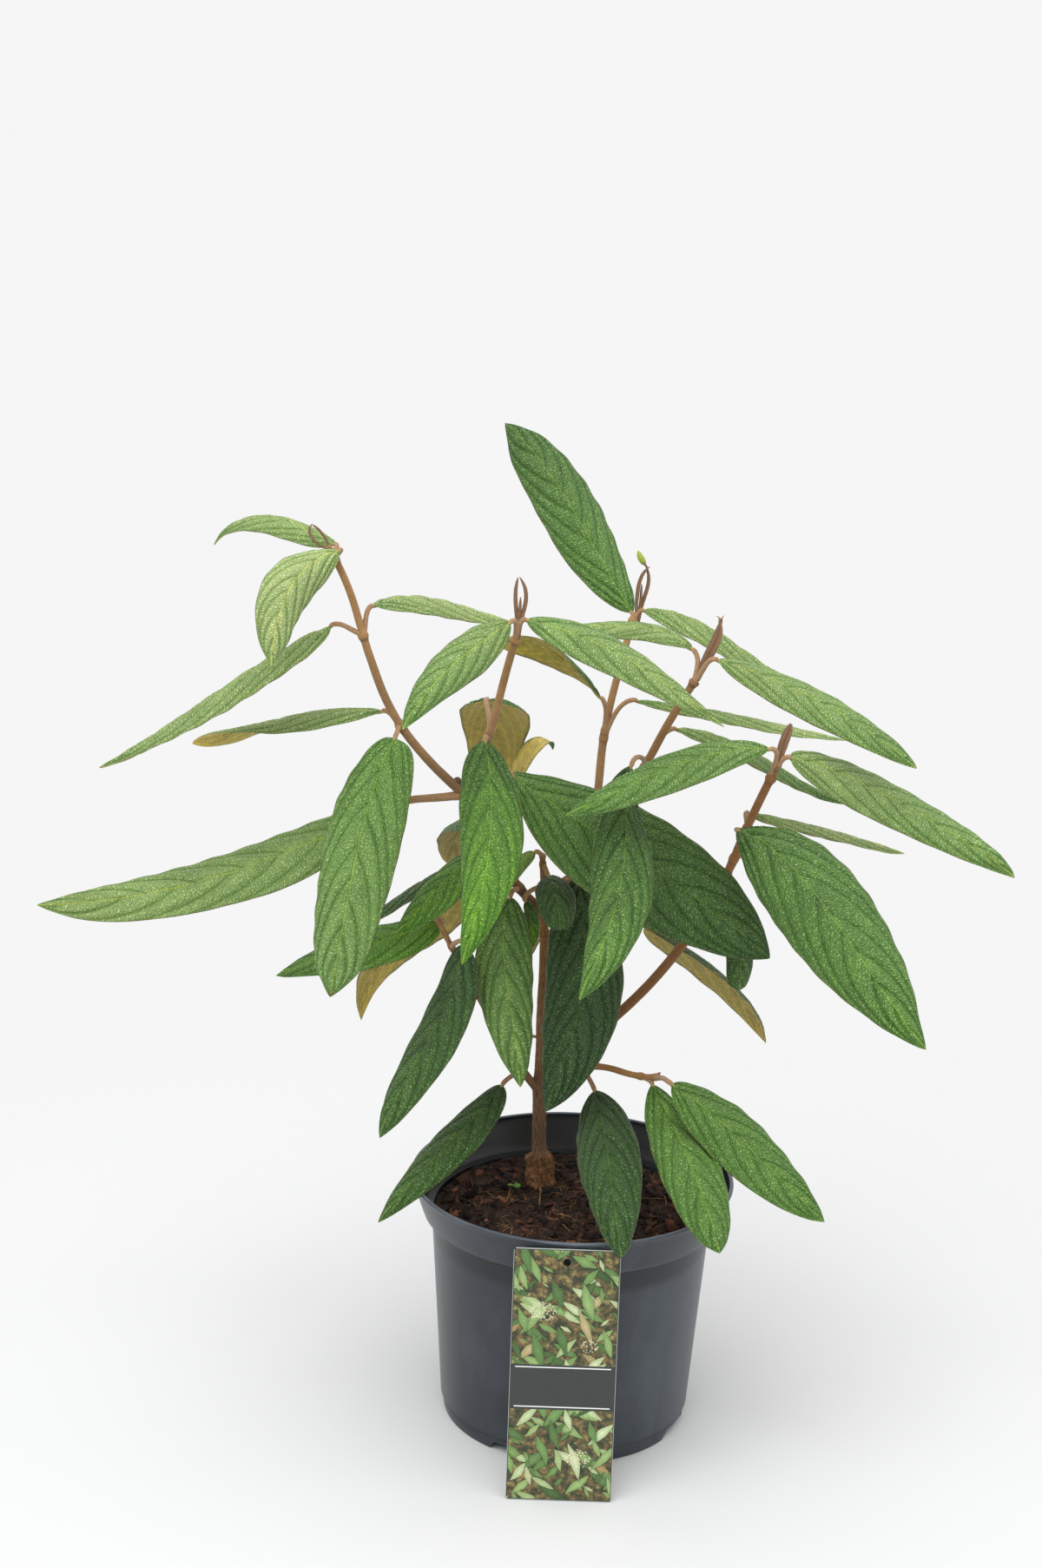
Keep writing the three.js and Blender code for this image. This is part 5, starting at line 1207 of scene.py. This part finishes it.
# ---- card ------------------------------------------------------------------------------------------------------------
def mat_card():
    m, nt, b = new_mat("laminated_card")
    geo = node(nt, "ShaderNodeTexCoord").outputs["Object"]
    sep = node(nt, "ShaderNodeSeparateXYZ")
    nt.links.new(geo, sep.inputs[0])

    def math_(op, a, bb=None):
        n = node(nt, "ShaderNodeMath", operation=op)
        for i, v in enumerate((a, bb)):
            if v is None:
                continue
            if isinstance(v, (int, float)):
                n.inputs[i].default_value = v
            else:
                nt.links.new(v, n.inputs[i])
        return n.outputs[0]

    k = math.cos(math.radians(CARD_LEAN))
    h = math_("MULTIPLY", math_("SUBTRACT", sep.outputs[2], 0.0005), 1000 / k)
    x = math_("MULTIPLY", math_("SUBTRACT", sep.outputs[0], CARD_X * MM), 1000.0)
    comb = node(nt, "ShaderNodeCombineXYZ")
    nt.links.new(x, comb.inputs[0])
    nt.links.new(h, comb.inputs[1])
    P = comb.outputs[0]
    warp = noise(nt, P, 0.06, 2)

    def leafy(turn, wide, long, shift):
        """scattered leaf shapes: how far from the middle of each, and two random values for each"""
        r = node(nt, "ShaderNodeVectorRotate", rotation_type="Z_AXIS")
        nt.links.new(P, r.inputs["Vector"])
        r.inputs["Angle"].default_value = turn
        add = nt.nodes.new("ShaderNodeVectorMath")
        add.operation = "ADD"
        nt.links.new(scaled(nt, r.outputs[0], (1 / long, 1 / wide, 1)), add.inputs[0])
        nt.links.new(scaled(nt, noise_color(nt, P, 0.035), (0.5, 0.7, 0.0)), add.inputs[1])
        far = nt.nodes.new("ShaderNodeVectorMath")
        far.operation = "ADD"
        nt.links.new(add.outputs[0], far.inputs[0])
        far.inputs[1].default_value = (shift, 2.3 * shift, 0)
        d = voronoi(nt, far.outputs[0], 1.0, "F1", "Distance", metric="MINKOWSKI")
        v = node(nt, "ShaderNodeSeparateColor")
        nt.links.new(voronoi(nt, far.outputs[0], 1.0, "F1", "Color", metric="MINKOWSKI"), v.inputs[0])
        return d, v.outputs[0], v.outputs[1]

    ground = noise(nt, P, 0.16, 5, 0.7)
    c = ramp(nt, ground, [(0.30, srgb(26, 32, 22)), (0.46, srgb(62, 68, 40)), (0.56, srgb(122, 98, 62)), (0.66, srgb(150, 160, 92)), (0.78, srgb(196, 184, 130))])
    for turn, wide, long, shift, cut in ((0.5, 7.0, 23.0, 3.1, 0.50), (-0.75, 8.0, 27.0, 8.7, 0.42), (1.25, 9.0, 31.0, 15.3, 0.42)):
        d, va, vb = leafy(turn, wide, long, shift)
        hue = ramp(nt, va, [(0.0, srgb(66, 96, 52)), (0.30, srgb(120, 158, 92)), (0.60, srgb(166, 194, 130)), (0.85, srgb(214, 226, 186)), (1.0, srgb(184, 146, 96))])
        hue = mix(nt, hue, (0.62, 0.66, 0.55), ramp(nt, d, [(0.0, 0.0), (0.40, 1.0)]), "MULTIPLY")
        hue = mix(nt, hue, (1.25, 1.25, 1.1), ramp(nt, noise(nt, P, 0.9, 2), [(0.5, 0.0), (0.62, 0.8)]), "MULTIPLY")
        edge = ramp(nt, d, [(cut, 1.0), (cut + 0.03, 0.0)])
        c = mix(nt, c, mix(nt, c, (0.45, 0.45, 0.4), 1.0, "MULTIPLY"), ramp(nt, d, [(cut, 1.0), (cut + 0.12, 0.0)]))
        c = mix(nt, c, hue, edge)
    # small cream umbels
    dots = ramp(nt, voronoi(nt, P, 0.85), [(0.30, 1.0), (0.46, 0.0)])
    for ux, uh, ur in ((-15.0, 131.0, 9.0), (17.0, 108.0, 6.0), (12.0, 30.0, 8.5)):
        off = nt.nodes.new("ShaderNodeVectorMath")
        off.operation = "SUBTRACT"
        nt.links.new(P, off.inputs[0])
        off.inputs[1].default_value = (ux, uh, 0)
        ln_ = nt.nodes.new("ShaderNodeVectorMath")
        ln_.operation = "LENGTH"
        nt.links.new(scaled(nt, off.outputs[0], (1, 1.35, 0)), ln_.inputs[0])
        inside_ = math_("MULTIPLY", math_("LESS_THAN", ln_.outputs["Value"], ur), dots)
        c = mix(nt, c, tuple(srgb(226, 214, 182)), inside_)

    def band(lo, hi, src=h):
        return math_("MULTIPLY", math_("GREATER_THAN", src, lo), math_("LESS_THAN", src, hi))

    c = mix(nt, c, tuple(srgb(50, 56, 54)), band(63.3, 94.4))
    short = math_("LESS_THAN", math_("ABSOLUTE", x), CARD_W / 2 - 3.4)
    for lo in (64.8, 92.2):
        c = mix(nt, c, tuple(srgb(236, 238, 234)), math_("MULTIPLY", band(lo, lo + 0.75), short))
    ex = math_("GREATER_THAN", math_("ABSOLUTE", x), CARD_W / 2 - 0.8)
    ey = math_("MAXIMUM", math_("LESS_THAN", h, 0.8), math_("GREATER_THAN", h, CARD_H - 0.8))
    c = mix(nt, c, tuple(srgb(46, 50, 46)), math_("MAXIMUM", ex, ey))
    ex = math_("GREATER_THAN", math_("ABSOLUTE", x), CARD_W / 2 - 0.25)
    ey = math_("MAXIMUM", math_("LESS_THAN", h, 0.25), math_("GREATER_THAN", h, CARD_H - 0.25))
    c = mix(nt, c, tuple(srgb(190, 196, 190)), math_("MAXIMUM", ex, ey))
    nt.links.new(c, b.inputs["Base Color"])
    b.inputs["Roughness"].default_value = 0.28
    b.inputs["Specular IOR Level"].default_value = 0.5
    nt.links.new(bump(nt, warp, 0.15, 0.004), b.inputs["Normal"])
    return m


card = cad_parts["plant_card"]
paint(card, mat_card())

# ---- floor, light and camera ------------------------------------------------------------------------------------------
sc = bpy.context.scene
fm, nt, b = new_mat("plain_floor")
b.inputs["Base Color"].default_value = (0.715, 0.722, 0.725, 1)
b.inputs["Roughness"].default_value = 0.9
b.inputs["Specular IOR Level"].default_value = 0.1
geo = node(nt, "ShaderNodeTexCoord").outputs["Object"]
ln = nt.nodes.new("ShaderNodeVectorMath")
ln.operation = "LENGTH"
nt.links.new(geo, ln.inputs[0])
nt.links.new(ramp(nt, ln.outputs["Value"], [(0.28, 1.0), (0.90, 0.0)]), b.inputs["Alpha"])
me = bpy.data.meshes.new("floor")
me.from_pydata([(-6, -6, 0), (6, -6, 0), (6, 6, 0), (-6, 6, 0)], [], [(0, 1, 2, 3)])
me.materials.append(fm)
floor = bpy.data.objects.new("floor", me)
sc.collection.objects.link(floor)

world = bpy.data.worlds.new("studio")
sc.world = world
world.use_nodes = True
world.node_tree.nodes["Background"].inputs[0].default_value = (1.0, 1.0, 1.0, 1)
world.node_tree.nodes["Background"].inputs[1].default_value = 0.92


def area(name, loc, target, size, power, color=(1, 1, 1)):
    L = bpy.data.lights.new(name, "AREA")
    L.shape = "SQUARE"
    L.size = size
    L.energy = power
    L.color = color
    o = bpy.data.objects.new(name, L)
    sc.collection.objects.link(o)
    from mathutils import Vector
    o.location = loc
    o.rotation_mode = "QUATERNION"
    o.rotation_quaternion = (Vector(target) - Vector(loc)).to_track_quat("-Z", "Y")
    return o


area("key", (-0.75, -1.35, 2.5), (0, 0, 0.35), 2.2, 37.0)
area("top", (0.5, -0.1, 2.6), (0, 0, 0.3), 2.2, 17.0)
sc.view_settings.view_transform = "Standard"
sc.view_settings.look = "None"

from mathutils import Matrix
cam = bpy.data.cameras.new("photo_camera")
cam.sensor_width = 36.0
cam.lens = 2661.7 * 36.0 / 1805.0
cam.dof.use_dof = False
cam.clip_start, cam.clip_end = 0.05, 50.0
co = bpy.data.objects.new("photo_camera", cam)
sc.collection.objects.link(co)
th, ro = math.radians(14.301), math.radians(1.991)
fwd = np.array([0, math.cos(th), -math.sin(th)])
right, up = np.array([1.0, 0, 0]), np.array([0, math.sin(th), math.cos(th)])
Rv = right * math.cos(ro) + up * math.sin(ro)
Uv = -right * math.sin(ro) + up * math.cos(ro)
M4 = np.eye(4)
M4[:3, 0], M4[:3, 1], M4[:3, 2], M4[:3, 3] = Rv, Uv, -fwd, np.array([-45.74, -1512.86, 844.70]) * MM
co.matrix_world = Matrix(M4.tolist())
sc.camera = co
